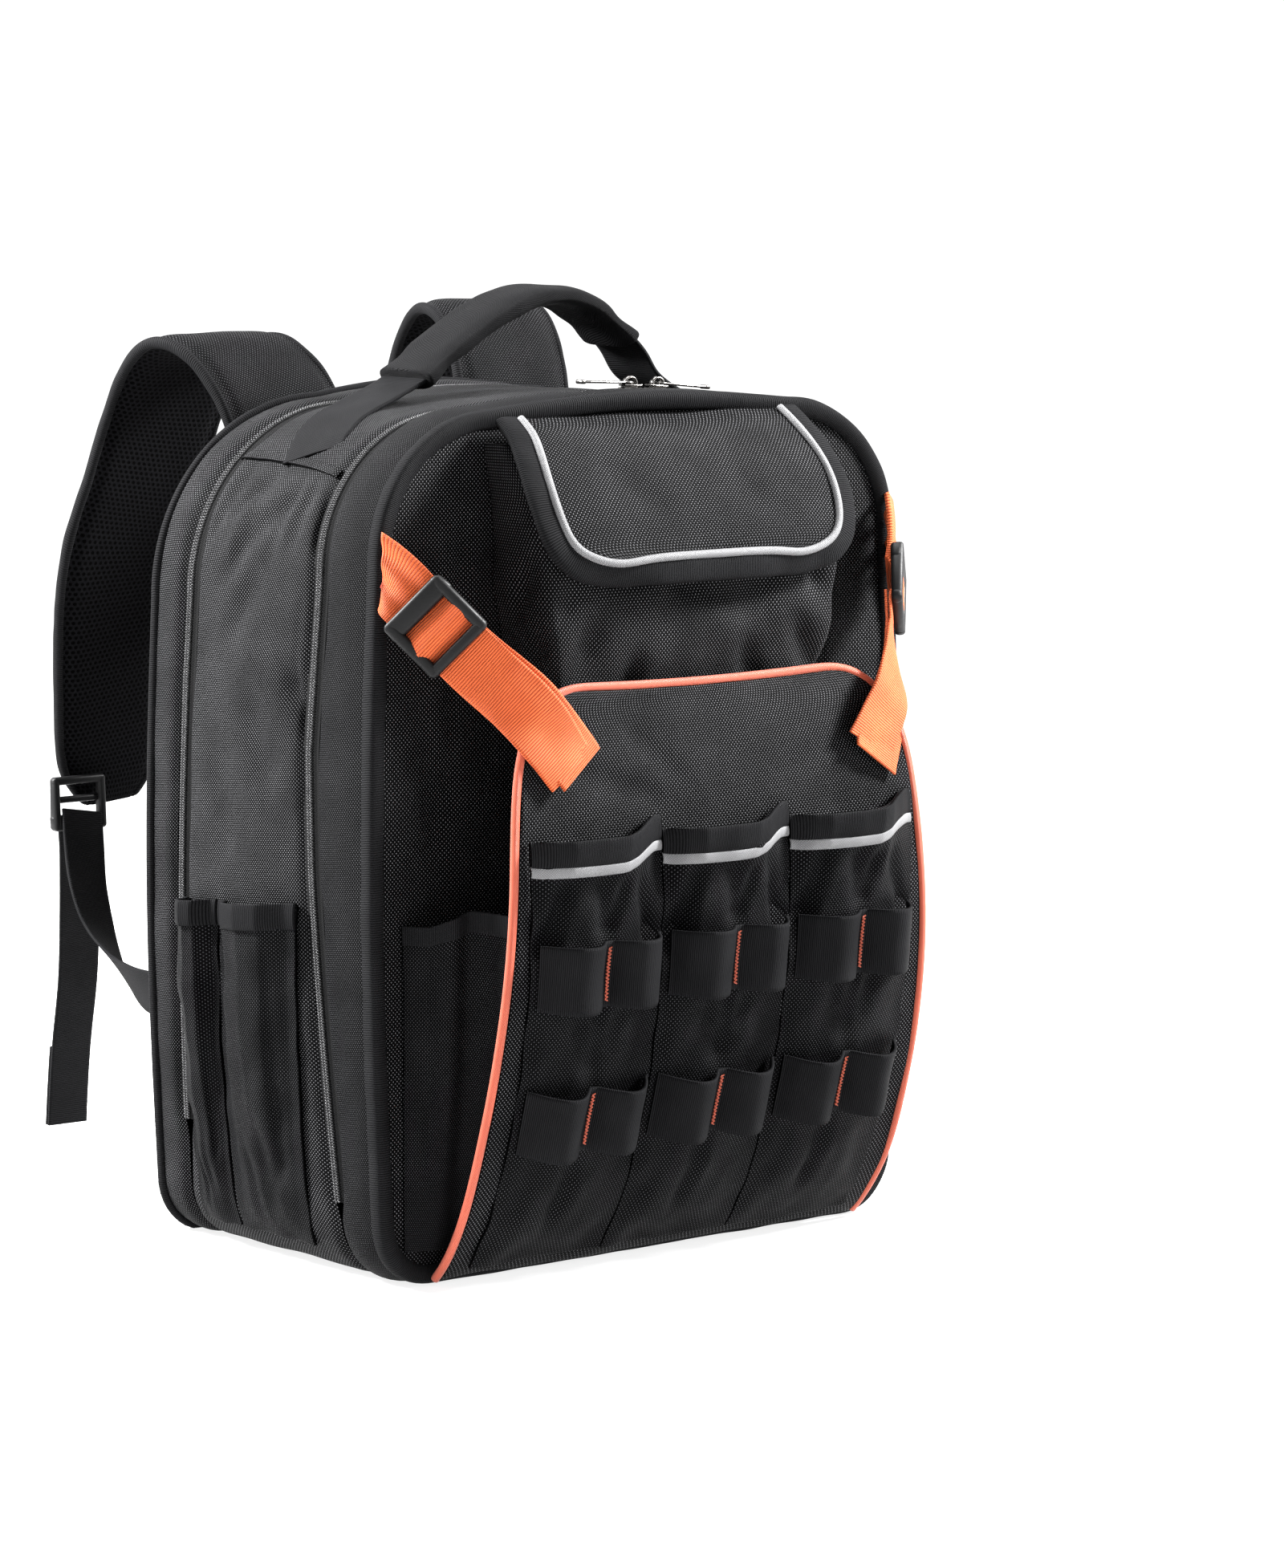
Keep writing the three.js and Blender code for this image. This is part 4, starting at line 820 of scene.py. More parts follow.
def top_pocket_place(u, v):
    across, out = pocket_section(u)
    depth = flowing(TOP_POCKET_ROWS, v, 2)
    narrow = flowing([[0, 0.72], [0.3, 0.84], [0.6, 0.97], [1, 1]], v)
    side_in = 1 - 0.1 * (1 - v) * (1 - within(out / TOP_POCKET_DEPTH))
    return Vector((across * narrow * side_in, FRONT_Y + 1 - depth * out, flowing(TOP_POCKET_ROWS, v, 1) * HEIGHT))


sew("top_pouch", 88, 52, top_pocket_place, (280, 185), coarse_nylon, "black_nylon", "top_pocket", [
    [(-98, -115, 262), (-62, -142, 330), 7, 5.0],
    [(-98, -120, 300), (-80, -141, 350), 6, 4.4],
    [(-100, -112, 330), (-86, -138, 380), 5, 3.4],
    [(-50, -132, 262), (-36, -142, 318), 7, 4.4],
    [(0, -134, 262), (-10, -142, 300), 8, 3.0],
    [(98, -115, 262), (62, -142, 330), 7, 5.0],
    [(98, -120, 300), (74, -141, 356), 6, 5.0],
    [(94, -130, 330), (60, -142, 362), 6, 4.2],
    [(50, -132, 262), (30, -142, 322), 8, 4.2],
    [(-74, -142, 356), (74, -142, 344), 10, 3.4],
    [(-20, -142, 352), (40, -142, 330), 7, 2.6],
], (2.8, 26), thickness=POCKET_CLOTH)

# Flap: a stiff lid of coarse nylon over the top pocket, sewn along its top edge.
# It lies full and round over the pocket, and its lower corners are cut round.
FLAP_HALF_WIDTH = 94
FLAP_DROP = 71
FLAP_REACH = 53
FLAP_DROOP = 2.5
FLAP_ROWS = [
    [0, 1, 1, 0.62], [0.045, 0.94, 0.99, 0.83], [0.1, 0.86, 0.96, 0.94], [0.24, 0.7, 0.89, 0.985],
    [0.47, 0.45, 0.72, 1], [0.7, 0.24, 0.5, 0.97], [0.92, 0.07, 0.25, 0.93], [1, 0, 0.062, 0.93],
]


def flap_place(u, v):
    drop, reach, width = (flowing(FLAP_ROWS, v, column) for column in (1, 2, 3))
    side = 2 * u - 1
    droop = flowing([[0, 0], [0.45, 0], [0.8, 0.25], [1, 1]], abs(side)) * FLAP_DROOP * reach
    crown = 1.2 * sin(pi * u) * sin(pi * v)
    return Vector((
        side * width * FLAP_HALF_WIDTH,
        FRONT_Y - CLOTH - reach * FLAP_REACH + droop - crown,
        HEIGHT - 2 - drop * FLAP_DROP - droop + crown,
    ))


sew("flap", 60, 36, flap_place, (188, 92), coarse_nylon, "black_nylon", "top_flap", [
    [(-60, -130, 408), (-20, -148, 380), 9, 1.4],
    [(20, -140, 396), (64, -150, 372), 9, 1.2],
    [(-50, -108, 424), (60, -108, 424), 8, 1.0],
], (1.2, 36))

# Flap edge: wide ribbed tape folded over the rim of the flap, with a cord of silver reflective tape inside it.
# Both run down one side, along the lower edge and up the other.
RIM_STEPS = 240


def surface_normal(place, u, v):
    step = 0.01
    across = place(min(u + step, 1), v) - place(max(u - step, 0), v)
    up = place(u, min(v + step, 1)) - place(u, max(v - step, 0))
    return across.cross(up).normalized()


def rim(place, order, rounding):
    """A line round the edge of a panel, with the direction out of its face and the direction away from it.
    rounding is how many times its even steps are averaged with their neighbours."""
    marks = [place(u, v) for u, v in order]
    normals = [surface_normal(place, u, v) for u, v in order]
    travelled = [0.0]
    for a, b in zip(marks, marks[1:]):
        travelled.append(travelled[-1] + (b - a).length)
    spots, faces = [], []
    for i in range(RIM_STEPS + 1):
        goal = travelled[-1] * i / RIM_STEPS
        k = within(bisect.bisect_right(travelled, goal), 1, len(marks) - 1)
        share = (goal - travelled[k - 1]) / (travelled[k] - travelled[k - 1])
        spots.append(marks[k - 1].lerp(marks[k], share))
        faces.append(normals[k - 1].lerp(normals[k], share))
    for _ in range(rounding):
        for row in (spots, faces):
            row[1:-1] = [(a + b * 2 + c) / 4 for a, b, c in zip(row, row[1:], row[2:])]
    middle = sum(spots, Vector((0, 0, 0))) / len(spots)

    def at(share):
        place_along = within(share) * RIM_STEPS
        i = min(int(place_along), RIM_STEPS - 1)
        spot = spots[i].lerp(spots[i + 1], place_along - i)
        near = faces[i].lerp(faces[i + 1], place_along - i).normalized()
        ahead = spots[min(i + 3, RIM_STEPS)] - spots[max(i - 2, 0)]
        away = ahead.cross(near).normalized()
        if away.dot(spot - middle) < 0:
            away = -away
        return spot, near, away

    at.length = travelled[-1]
    return at


def even_order(first, last, u, count):
    return [(u, blend(first, last, i / count)) for i in range(count)]


flap_order = even_order(1, 0, 0, 100) + [(i / 60, 0) for i in range(60)] + even_order(0, 1, 1, 100) + [(1, 1)]
flap_rim = rim(flap_place, flap_order, 60)
edge_section = course([
    (-1.5, 1.2), (2, 1.6), (7, 1.5), (10.4, 0.6), (11, -1.2), (10, -3), (6, -3.6), (0, -3.6),
])


def flap_edge_place(u, v):
    spot, face, away = flap_rim(v)
    across, lift = edge_section(u)
    return spot + away * across + face * lift


sew("flap_edge", 12, 160, flap_edge_place, (28, flap_rim.length), black_tape, "black_webbing", "flap_binding",
    lumps=(0.5, 14), thickness=0.9, inside=(0, -90, 400))
finish = Finish("silver_reflective", 0.4)
across, along = finish.grain()
net = ((across + along) / 0.0011).wave() * ((across - along) / 0.0011).wave()
clouds = finish.cloudy(80, 3)
colour = finish.mix((net * 0.7 + clouds * 0.3).capped(), (0.10, 0.10, 0.104, 1), (0.24, 0.24, 0.245, 1))
silver = finish.join(colour, finish.bump(net, 0.00015), 0.55 - net * 0.2)


def cord(line, ends, out, lift, width, height):
    """A round cord along a rim, out and lift millimetres off it. Its radii are width and height."""
    def place(u, v):
        spot, face, away = line(blend(ends, 1 - ends, v))
        angle = 2 * pi * u
        return spot + away * (out + width * cos(angle)) + face * (lift + height * sin(angle))
    return place


sew("flap_reflective_cord", 12, 240, cord(flap_rim, 0.004, -3, 1.2, 2.1, 1.7), (12, flap_rim.length), silver,
    "reflective_piping", "flap_piping", closed=True, capped=True, soften=0)

# Tool board: the outer wall of the large outer pocket, a stiff nylon panel that leans out from the door's foot.
# Its upper part shows above the pockets and sags a little between the two straps.
BOARD_HEIGHT = 298
BOARD_HALF_WIDTH = 136
BOARD_LEAN = 61
BOARD_THICKNESS = 2.5
BOARD_ROWS = [
    [0.012, 0.05, 1], [0.035, 0.17, 1], [0.135, 0.48, 1.01], [0.3, 0.76, 1.005], [0.42, 0.9, 0.995],
    [0.543, 0.985, 0.98], [0.67, 1, 0.96], [0.78, 0.96, 0.94], [0.88, 0.905, 0.905],
    [0.955, 0.83, 0.824], [0.985, 0.79, 0.74], [1, 0.77, 0.647],
]


def board_place(u, v):
    rise = blend(0.012, 1, v)
    side = 2 * u - 1
    width = flowing(BOARD_ROWS, rise, 2) * BOARD_HALF_WIDTH
    sag = 2.0 * (1 - side * side) * within((rise - 0.8) * 5)
    return Vector((
        side * width,
        FRONT_Y - BOARD_THICKNESS - flowing(BOARD_ROWS, rise, 1) * BOARD_LEAN - 0.5 * sag,
        rise * BOARD_HEIGHT - sag,
    ))


sew("board", 56, 70, board_place, (2 * BOARD_HALF_WIDTH, BOARD_HEIGHT), coarse_nylon, "black_nylon", "tool_board", [
    [(-100, -156, 262), (-30, -158, 240), 7, 1.8],
    [(-60, -152, 282), (-20, -158, 246), 6, 1.4],
    [(30, -158, 244), (100, -154, 270), 7, 1.6],
    [(92, -156, 240), (100, -150, 284), 6, 1.6],
], (1.4, 32), thickness=BOARD_THICKNESS)

# Board cord: salmon piping sewn in along the edge of the board, up one side, over the top and down the other.
# It is a cord wrapped in shiny woven tape; the thin seam allowance behind it is not drawn.
PIPING_RADIUS = 2.2


def piping_finish(name):
    finish = Finish(name, 0.4, sheen=0.1)
    across, along = finish.grain()
    twill = ((across + along * 0.8) / 0.0009).wave()
    clouds = finish.cloudy(40, 3)
    colour = finish.mix((twill * 0.7 + clouds * 0.4).capped(), (0.31, 0.038, 0.017, 1), (0.56, 0.105, 0.05, 1))
    return finish.join(colour, finish.bump(twill, 0.00018), 0.6 - twill * 0.15)


salmon = piping_finish("salmon_piping_tape")
board_order = even_order(0, 1, 0, 120) + [(i / 60, 1) for i in range(60)] + even_order(1, 0, 1, 120) + [(1, 0)]
board_rim = rim(board_place, board_order, 12)
board_cord_place = cord(board_rim, 0, PIPING_RADIUS * 1.1, -1, PIPING_RADIUS, PIPING_RADIUS)
sew("board_cord", 12, 420, board_cord_place, (14, board_rim.length), salmon, "orange_piping", "board_piping",
    closed=True, capped=True, soften=0)

# Tool pockets: three tall pockets side by side on the board, cut full and gathered at their seams.
# The mouths stand open in flat facets, and folds run down from the loops' stitching.
POCKET_PITCH = 83.2
POCKET_LEFTS = [(number, (number - 2.5) * POCKET_PITCH) for number in (1, 2, 3)]
MOUTH_BULGE = 20
POCKET_FOOT = 10.4
POCKET_MOUTH = 234.4
POCKET_BULGES = [
    [0, 0], [0.135, 0.3], [0.356, 0.25], [0.516, 0.35], [0.68, 0.3], [0.85, 0.6], [1, 1],
]
POCKET_COLUMNS = [
    [0.006, 0], [0.03, 0.04], [0.1, 0.5], [0.2, 0.78], [0.42, 0.96], [0.58, 1], [0.68, 0.86], [0.84, 0.44],
    [0.96, 0.04], [0.994, 0],
]
MOUTH_SAG = 7.5
POCKET_FOLDS = [
    (-24, -178, 214, -38, -164, 170, 5, 5.6), (22, -178, 212, 38, -164, 166, 5, 7.0),
    (-6, -180, 212, 0, -168, 176, 6, 5.0), (10, -180, 208, 2, -167, 178, 4, 4.4),
    (0, -168, 180, 0, -160, 106, 4, 5.0), (-14, -168, 142, -2, -160, 106, 5, 3.6),
    (16, -168, 146, 2, -158, 108, 5, 3.6), (0, -158, 74, -6, -130, 26, 5, 4.6),
    (-24, -160, 72, -34, -134, 30, 6, 4.2), (22, -160, 72, 34, -134, 26, 6, 4.2),
]
MOUTH_SAGS = [[0, 0.9], [0.06, 1], [0.54, 1], [0.66, 0.78], [0.82, 0.2], [0.9, 0.02], [1, 0]]
# Darker copy of the coarse weave with dimmer painted highlights: painted shade on the tool pockets low on the board.
shaded_pocket_nylon = weave_finish("coarse_nylon_shaded_pocket_weave", COARSE_PITCH, SHADED_PAINTED_GLINT, 0.0004)


def off_board(x, height, lift):
    """A point in front of the board, lift millimetres off its outer face."""
    rise = height / BOARD_HEIGHT
    step = 0.01
    lean = flowing(BOARD_ROWS, rise, 1)
    slope = (flowing(BOARD_ROWS, rise + step, 1) - flowing(BOARD_ROWS, rise - step, 1)) * BOARD_LEAN
    out = Vector((0, -2 * step * BOARD_HEIGHT, -slope)).normalized()
    return Vector((x, FRONT_Y - BOARD_THICKNESS - lean * BOARD_LEAN, height)) + out * lift


def pocket_lift(height, share):
    rows = within((height - POCKET_FOOT) / (POCKET_MOUTH - POCKET_FOOT))
    return MOUTH_BULGE * flowing(POCKET_BULGES, rows) * read(POCKET_COLUMNS, share)


for number, left in POCKET_LEFTS:

    def pocket_place(u, v):
        share = blend(0.006, 0.994, u)
        height = blend(POCKET_FOOT, POCKET_MOUTH, v)
        sag = MOUTH_SAG * flowing(MOUTH_SAGS, share) * v**3
        return off_board(left + share * POCKET_PITCH, height - sag, 1.9 + pocket_lift(height, share))

    middle = left + POCKET_PITCH / 2
    folds = [[(middle + x, y, z), (middle + end_x, end_y, end_z), width, depth]
             for x, y, z, end_x, end_y, end_z, width, depth in POCKET_FOLDS]
    sew(f"tool_pocket_{number}", 40, 84, pocket_place, (POCKET_PITCH * 1.15, 228), shaded_pocket_nylon, "black_nylon",
        f"board_pocket_{number}", folds, (2.2, 20), thickness=POCKET_CLOTH)

# Pocket mouths: each has wide ribbed tape folded over its edge, and a narrow silver strip sewn on under it.
# The tape keeps the mouth's flat facets, and its upper edge is sewn into the next pocket's at the corners.
MOUTH_HEM = 12
SILVER_HEIGHT = 5
for number, left in POCKET_LEFTS:

    def mouth_band(lift, top, bottom):
        def place(u, v):
            share = blend(0.004, 0.996, u)
            height = blend(POCKET_MOUTH - bottom, POCKET_MOUTH + top, v)
            round_over = 0.8 * sin(pi * v) ** 0.5
            wave = 0.5 * sin(u * 23 + number * 2)
            seat = 1.9 + pocket_lift(min(height, POCKET_MOUTH), share)
            sag = MOUTH_SAG * flowing(MOUTH_SAGS, share)
            return off_board(left + share * POCKET_PITCH, height - sag, seat + lift + round_over + wave * 0.4)
        return place

    sew(f"mouth_tape_{number}", 60, 8, mouth_band(0.8, 0.6, MOUTH_HEM), (POCKET_PITCH * 1.2, 13), black_tape,
        "black_webbing", f"mouth_binding_{number}", thickness=2, turned=True)
    sew(f"silver_strip_{number}", 60, 6, mouth_band(0.4, -MOUTH_HEM + 0.5, MOUTH_HEM + SILVER_HEIGHT),
        (POCKET_PITCH * 1.2, SILVER_HEIGHT), silver, "reflective_piping", f"reflective_strip_{number}", thickness=0.8)

# Tool loops: two rows of ribbed webbing, sewn down at both ends and in the middle of each pocket.
# Each strip stands round in two loops, and an orange zigzag tack holds its middle.
LOOP_HEIGHT = 32
LOOP_DEPTH = 13
LOOP_ROWS = [("upper", 161.6), ("lower", 89)]
LOOP_ARCHES = [(0.05, 0.475), (0.525, 0.95)]
LOOP_FULLNESS = 0.95
LOOP_STEPS = 240
TACK_HEIGHT = 26
TACK_WIDTH = 1.1
TACK_TURNS = 15
black_loop_tape = webbing_finish("black_loop_webbing", (0.0125, 0.0125, 0.0135, 1), pitch=0.0014)
thread = piping_finish("orange_tack_thread")


def arch_at(share):
    for low, high in LOOP_ARCHES:
        if low < share < high:
            return sin(pi * (share - low) / (high - low)) ** LOOP_FULLNESS
    return 0.0


for row_name, height in LOOP_ROWS:
    for number, left in POCKET_LEFTS:

        def loop_at(share, rise, extra=0.0):
            seat = pocket_lift(height + rise, share) + POCKET_CLOTH + 3
            return off_board(left + share * POCKET_PITCH, height + rise, seat + arch_at(share) * LOOP_DEPTH + extra)

        shares = [0.036 + 0.928 * i / LOOP_STEPS for i in range(LOOP_STEPS + 1)]
        loop_shares = course([(share, loop_at(share, 0).y / POCKET_PITCH) for share in shares], smooth=False)

        def loop_place(u, v):
            return loop_at(loop_shares(u).x, (v - 0.5) * LOOP_HEIGHT)

        sew(f"loop_strip_{row_name}_{number}", 110, 8, loop_place, (140, LOOP_HEIGHT), black_loop_tape,
            "black_webbing", f"{row_name}_loop_{number}", lumps=(0.7, 16), thickness=1.5, turned=True,
            inside=(0, 0, height))

        def tack_place(u, v):
            swing = abs(((v * TACK_TURNS) % 1) * 4 - 2) - 1
            ring = 2 * pi * u
            spot = loop_at(0.5, (v - 0.5) * TACK_HEIGHT, 0.25 + 0.45 * sin(ring))
            return spot + Vector((TACK_WIDTH * swing, 0, 0.45 * cos(ring)))

        sew(f"loop_tack_{row_name}_{number}", 6, TACK_TURNS * 8, tack_place, (2.5, 80), thread, "orange_webbing",
            closed=True, capped=True, soften=0)

# Gussets: the pleated side walls between the door and the board, of the same nylon, hemmed with ribbed tape.
# The pleat stands a little higher beside the board, so the pocket can open forwards.
GUSSET_FOOT = 19
GUSSET_TOP = 182
GUSSET_COLUMNS = [(1.13, 0), (1.075, 0.19), (1.02, 0.36), (0.955, 0.38), (0.93, 0.62)]
for side_name, side in SIDES:

    def gusset_at(u, height, lift):
        rise = height / BOARD_HEIGHT
        lean = flowing(BOARD_ROWS, rise, 1) * BOARD_LEAN
        edge = flowing(BOARD_ROWS, rise, 2) * BOARD_HALF_WIDTH - 5
        points = [Vector((out * BOARD_HALF_WIDTH, FRONT_Y - depth * lean)) for out, depth in GUSSET_COLUMNS]
        points.append(Vector((edge, FRONT_Y - lean + 1)))
        line = course(points)
        ahead = line(min(u + 0.02, 1)) - line(max(u - 0.02, 0))
        out = Vector((-ahead.y, ahead.x)).normalized() * (1 if min(ahead) < 0 else -1)
        spot = line(u) + out * lift
        pleat = 8 * within((u - 0.2) / 0.3) * within((height - 120) / 60)
        return Vector((side * spot.x, spot.y, height + pleat))

    sew(f"gusset_{side_name}", 32, 40, lambda u, v: gusset_at(u, blend(GUSSET_FOOT, GUSSET_TOP, v), 0),
        (80, 165), shaded_nylon, "black_nylon", f"board_gusset_{side_name}", [
            [(side * 146, -108, 176), (side * 140, -104, 40), 5, 2.0],
            [(side * 150, -102, 120), (side * 138, -112, 60), 6, 1.6],
        ], (1.2, 26), thickness=POCKET_CLOTH)
    sew(f"gusset_tape_{side_name}", 50, 8, lambda u, v: gusset_at(u, GUSSET_TOP - 9 + 9.6 * v, 1.2), (84, 10),
        black_tape, "black_webbing", f"gusset_hem_{side_name}", thickness=2, turned=True)

# Side pockets: two long pockets on each side, cut wider than the wall they are sewn to.
# Their cloth hangs in long folds that turn in at the foot, and wide ribbed tape hems their mouths.
SIDE_POCKETS = [("front", -38, 24), ("rear", 26.5, 58.5)]
SIDE_POCKET_BULGE = 13
SIDE_HEM = 13
SIDE_BULGES = [[0, 0], [0.08, 0.2], [0.14, 0.35], [0.29, 0.5], [0.6, 0.85], [0.92, 1], [1, 1]]
SIDE_COLUMNS = [[0, 0], [0.1, 0.05], [0.27, 0.8], [0.5, 1], [0.73, 0.8], [0.9, 0.05], [1, 0]]
SIDE_FOOT = 0.234
SIDE_MOUTH = 0.474
SIDE_FOLDS = [
    (184, 0.3, 176, 176, 0.22, 50, 0.06, 3.6), (184, 0.62, 176, 174, 0.42, 36, 0.07, 4.2),
    (182, 0.85, 150, 172, 0.6, 24, 0.06, 3.4), (176, 0.2, 60, 166, 0.5, 22, 0.06, 2.6),
]
for side_name, side in SIDES:
    for place_name, near, far in SIDE_POCKETS:

        def side_at(u, v, lift):
            distance = blend(SIDE_FOOT, SIDE_MOUTH, v)
            bulge = flowing(SIDE_BULGES, within(v)) * read(SIDE_COLUMNS, u) * SIDE_POCKET_BULGE
            y = blend(far, near, u)
            front = seam_y(FRONT_SEAM, distance)
            bulge += wall_bulge(distance, (y - front) / (seam_y(REAR_SEAM, distance) - front))
            spot = outline(distance, y, -1.9 - bulge - lift)
            return Vector((side * spot.x, spot.y, spot.z))

        width = far - near
        folds = [[(side * x, near + width * y, z), (side * end_x, near + width * end_y, end_z), width * half, depth]
                 for x, y, z, end_x, end_y, end_z, half, depth in SIDE_FOLDS]
        sew(f"side_pouch_{side_name}_{place_name}", 30, 48, lambda u, v: side_at(u, v, 0), (width * 1.25, 175),
            shaded_nylon, "black_nylon", f"side_pocket_{side_name}_{place_name}", folds, (2.0, 20),
            thickness=POCKET_CLOTH)
        hem_share = SIDE_HEM / 173

        def hem_place(u, v):
            round_over = 0.7 * sin(pi * v) ** 0.5
            return side_at(u, 1 - hem_share + (hem_share + 0.004) * v, 0.8 + round_over)

        sew(f"side_tape_{side_name}_{place_name}", 44, 8, hem_place, (width * 1.25, SIDE_HEM), black_tape,
            "black_webbing", f"side_hem_{side_name}_{place_name}", thickness=2, turned=True)

# Compression straps: orange webbing from the door's binding to the top corners of the board.
# Each runs doubled through a moulded ladder lock and fans out where it is sewn into the binding.
COMPRESSION_WIDTH = 32
STRAP_POINTS = {
    "left": [(-167, -101.3, 361), (-161, -109, 350), (-152, -119, 336), (-137, -136, 314), (-119, -155, 290),
             (-97, -160, 261)],
    "right": [(-163, -101.3, 366), (-157, -108, 354), (-149, -117.5, 338), (-137, -132, 315), (-119, -154, 289),
              (-98, -160, 258)],
}
orange_tape = webbing_finish("orange_webbing", (0.77, 0.146, 0.038, 1), (0.25, 0.019, 0.005, 1), 0.00135, 0.0005,
                             0.05, 0.2)


def lane(line, across_at, slant=0.0):
    """A lane along a line: at(share, across, lift) is a point beside it and off its face.
    Its start is cut along across_at instead of square, up to the share given as slant."""
    def at(share, across, lift):
        ahead = (line(min(share + 0.015, 1)) - line(max(share - 0.015, 0))).normalized()
        wanted = Vector(across_at(share))
        square = (wanted - ahead * wanted.dot(ahead)).normalized()
        out = square.cross(ahead).normalized()
        beside = wanted.normalized().lerp(square, within(share / slant)) if slant else square
        return line(share) + beside * across + out * lift
    at.length = line.length
    return at


finish = Finish("black_moulded_plastic", 0.22)
clouds = finish.cloudy(500, 3)
broad = finish.cloudy(60, 2)
black_plastic = finish.join(finish.mix(broad, (0.002, 0.002, 0.0022, 1), (0.006, 0.006, 0.0065, 1)),
                            finish.bump(clouds, 0.00006, 0.6), clouds * 0.2 + 0.4)


def ladder_lock(name, width, length, bar, plate, thickness, lie):
    """A rounded frame whose start is a finger plate, with a bar across its window. Its local z is out of its face."""
    frame_shape = bmesh.new()
    window = length - bar - plate
    rounded_box(frame_shape, (width - 0.4, bar, thickness), (0, length / 2 - bar / 2, thickness / 2), bar * 0.34)
    rounded_box(frame_shape, (width - 0.4, plate, thickness), (0, plate / 2 - length / 2, thickness / 2), bar * 0.34)
    rounded_box(frame_shape, (width - bar, window * 0.22, thickness * 0.7),
                (0, length / 2 - bar - window / 2, thickness * 0.35), window * 0.08)
    for x in (-width / 2 + bar / 2, width / 2 - bar / 2):
        rounded_box(frame_shape, (bar, length - 0.4, thickness), (x, 0, thickness / 2), bar * 0.34)
    for vert in frame_shape.verts:
        corner = within((abs(vert.co.x) - width / 2 + bar) / bar) * within(
            (abs(vert.co.y) - length / 2 + bar) / bar)
        vert.co.x *= 1 - 0.055 * corner
        vert.co.y *= 1 - 0.055 * corner
        if vert.co.z > thickness / 2:
            vert.co.z += 1.6 * within((-vert.co.y - length / 2 + plate) / plate)
    bmesh.ops.transform(frame_shape, matrix=lie, verts=frame_shape.verts)
    return solid(name, frame_shape)


for side_name, side in SIDES:
    line = course([(-side * x, y, z) for x, y, z in STRAP_POINTS[side_name]])

    def strap_across(share):
        turn = within((share - 0.5) * 2)
        across = Vector((-0.45, 0.42, -0.78)).lerp(Vector((-0.83, -0.05, -0.56)), turn)
        across = Vector((0, 0, -1)).lerp(across, within(share * 8))
        return Vector((-side * across.x, across.y, across.z)) * (-side)

    strap = lane(line, strap_across, slant=0.22)
    lock_share = 4 / 14

    def strap_place(u, v):
        share = blend(0.2, 1, v)
        past_lock = (share - lock_share) * line.length
        over_bar = 6.4 * exp(-(((past_lock - 2.2) / 7.4) ** 4))
        wave = 0.7 * sin(u * 5 + v * 11)
        return strap(share, (u - 0.5) * COMPRESSION_WIDTH, 1.4 + over_bar + wave * within(v * 4 - 1))

    def strap_piece(name, columns, rows, place, length_share, thickness, lumps=(0, 30)):
        return sew(f"strap_{name}_{side_name}", columns, rows, place, (COMPRESSION_WIDTH, line.length * length_share),
                   orange_tape, "orange_webbing", f"compression_strap_{side_name}", (), lumps, thickness=thickness)

    strap_piece("long", 12, 80, strap_place, 0.8, 1.4, (0.8, 14))

    def root_place(u, v):
        share = 0.225 * v
        crimp = 1.3 * sin(u * 17) * (1 - v) + 2.2 * sin(pi * v)
        return strap(share, (u - 0.5) * COMPRESSION_WIDTH * (1.06 - 0.06 * v), 1.6 + crimp)

    strap_piece("root", 40, 36, root_place, 0.24, 2.8)

    def end_place(u, v):
        share = blend(0.36, 1.03, v)
        curl = 3.0 * within(v * 3 - 2) ** 2
        lift = -0.4 + 1.1 * sin(v * 8) * within(v * 3 - 1) + curl * (u - 0.2)
        return strap(min(share, 1), (u - 0.5) * COMPRESSION_WIDTH - 5.5 * v, lift) + Vector(
            (-side * 0.3, -0.2, -0.75)) * max(0, share - 1) * line.length

    strap_piece("end", 12, 50, end_place, 0.7, 1.4)

    out = (strap(lock_share, 0, 1) - strap(lock_share, 0, 0)).normalized()
    across = (strap(lock_share, 1, 0) - strap(lock_share, 0, 0)).normalized()
    lie = Matrix.Translation(strap(lock_share, 0, 2)) @ Matrix((across, out.cross(across), out)).transposed().to_4x4()
    lock = ladder_lock(f"ladder_lock_{side_name}", 40, 37, 6.6, 11, 5.6, lie)
    fasten(lock, black_plastic, f"compression_lock_{side_name}")

# Carry handle: a loop of black webbing sewn flat to both shoulders of the main wall and standing up between them.
# Its middle leans a little towards one side.
HANDLE_WIDTH = 38
HANDLE_CENTRE = 14
HANDLE_LINE = [
    (-84, 436), (-66, 444), (-52, 454), (-38, 463), (-17, 475), (4, 483), (19, 485), (36, 483), (52, 475), (75, 457),
    (88, 441),
]
HANDLE_SEATS = [(0.797, -7, 1.2), (0.816, -1, 0.2), (0.843, 8, -0.4)]
handle_line = course(
    [outline(2 - share, y, inset) for share, y, inset in HANDLE_SEATS]
    + [(x, HANDLE_CENTRE, z) for x, z in HANDLE_LINE]
    + [outline(share, y, inset) for share, y, inset in reversed(HANDLE_SEATS)]
)
handle = lane(handle_line, lambda share: (0, -1, 0))


def handle_place(u, v):
    return handle(v, (u - 0.5) * HANDLE_WIDTH, 1.6 + 0.5 * sin(u * pi))


sew("handle_webbing", 10, 110, handle_place, (HANDLE_WIDTH, handle_line.length), black_tape, "black_webbing",
    "carry_handle", lumps=(0.6, 18), thickness=1.8)

# Handle grip: nylon wrapped round foam in the middle of the handle, with a flared cuff at each end.
# The wrap's weave runs slantwise, and it is sewn together along the underside.
GRIP_WIDTH = 44
GRIP_THICKNESS = 11
GRIP_FROM = 0.258
GRIP_TO = 0.722


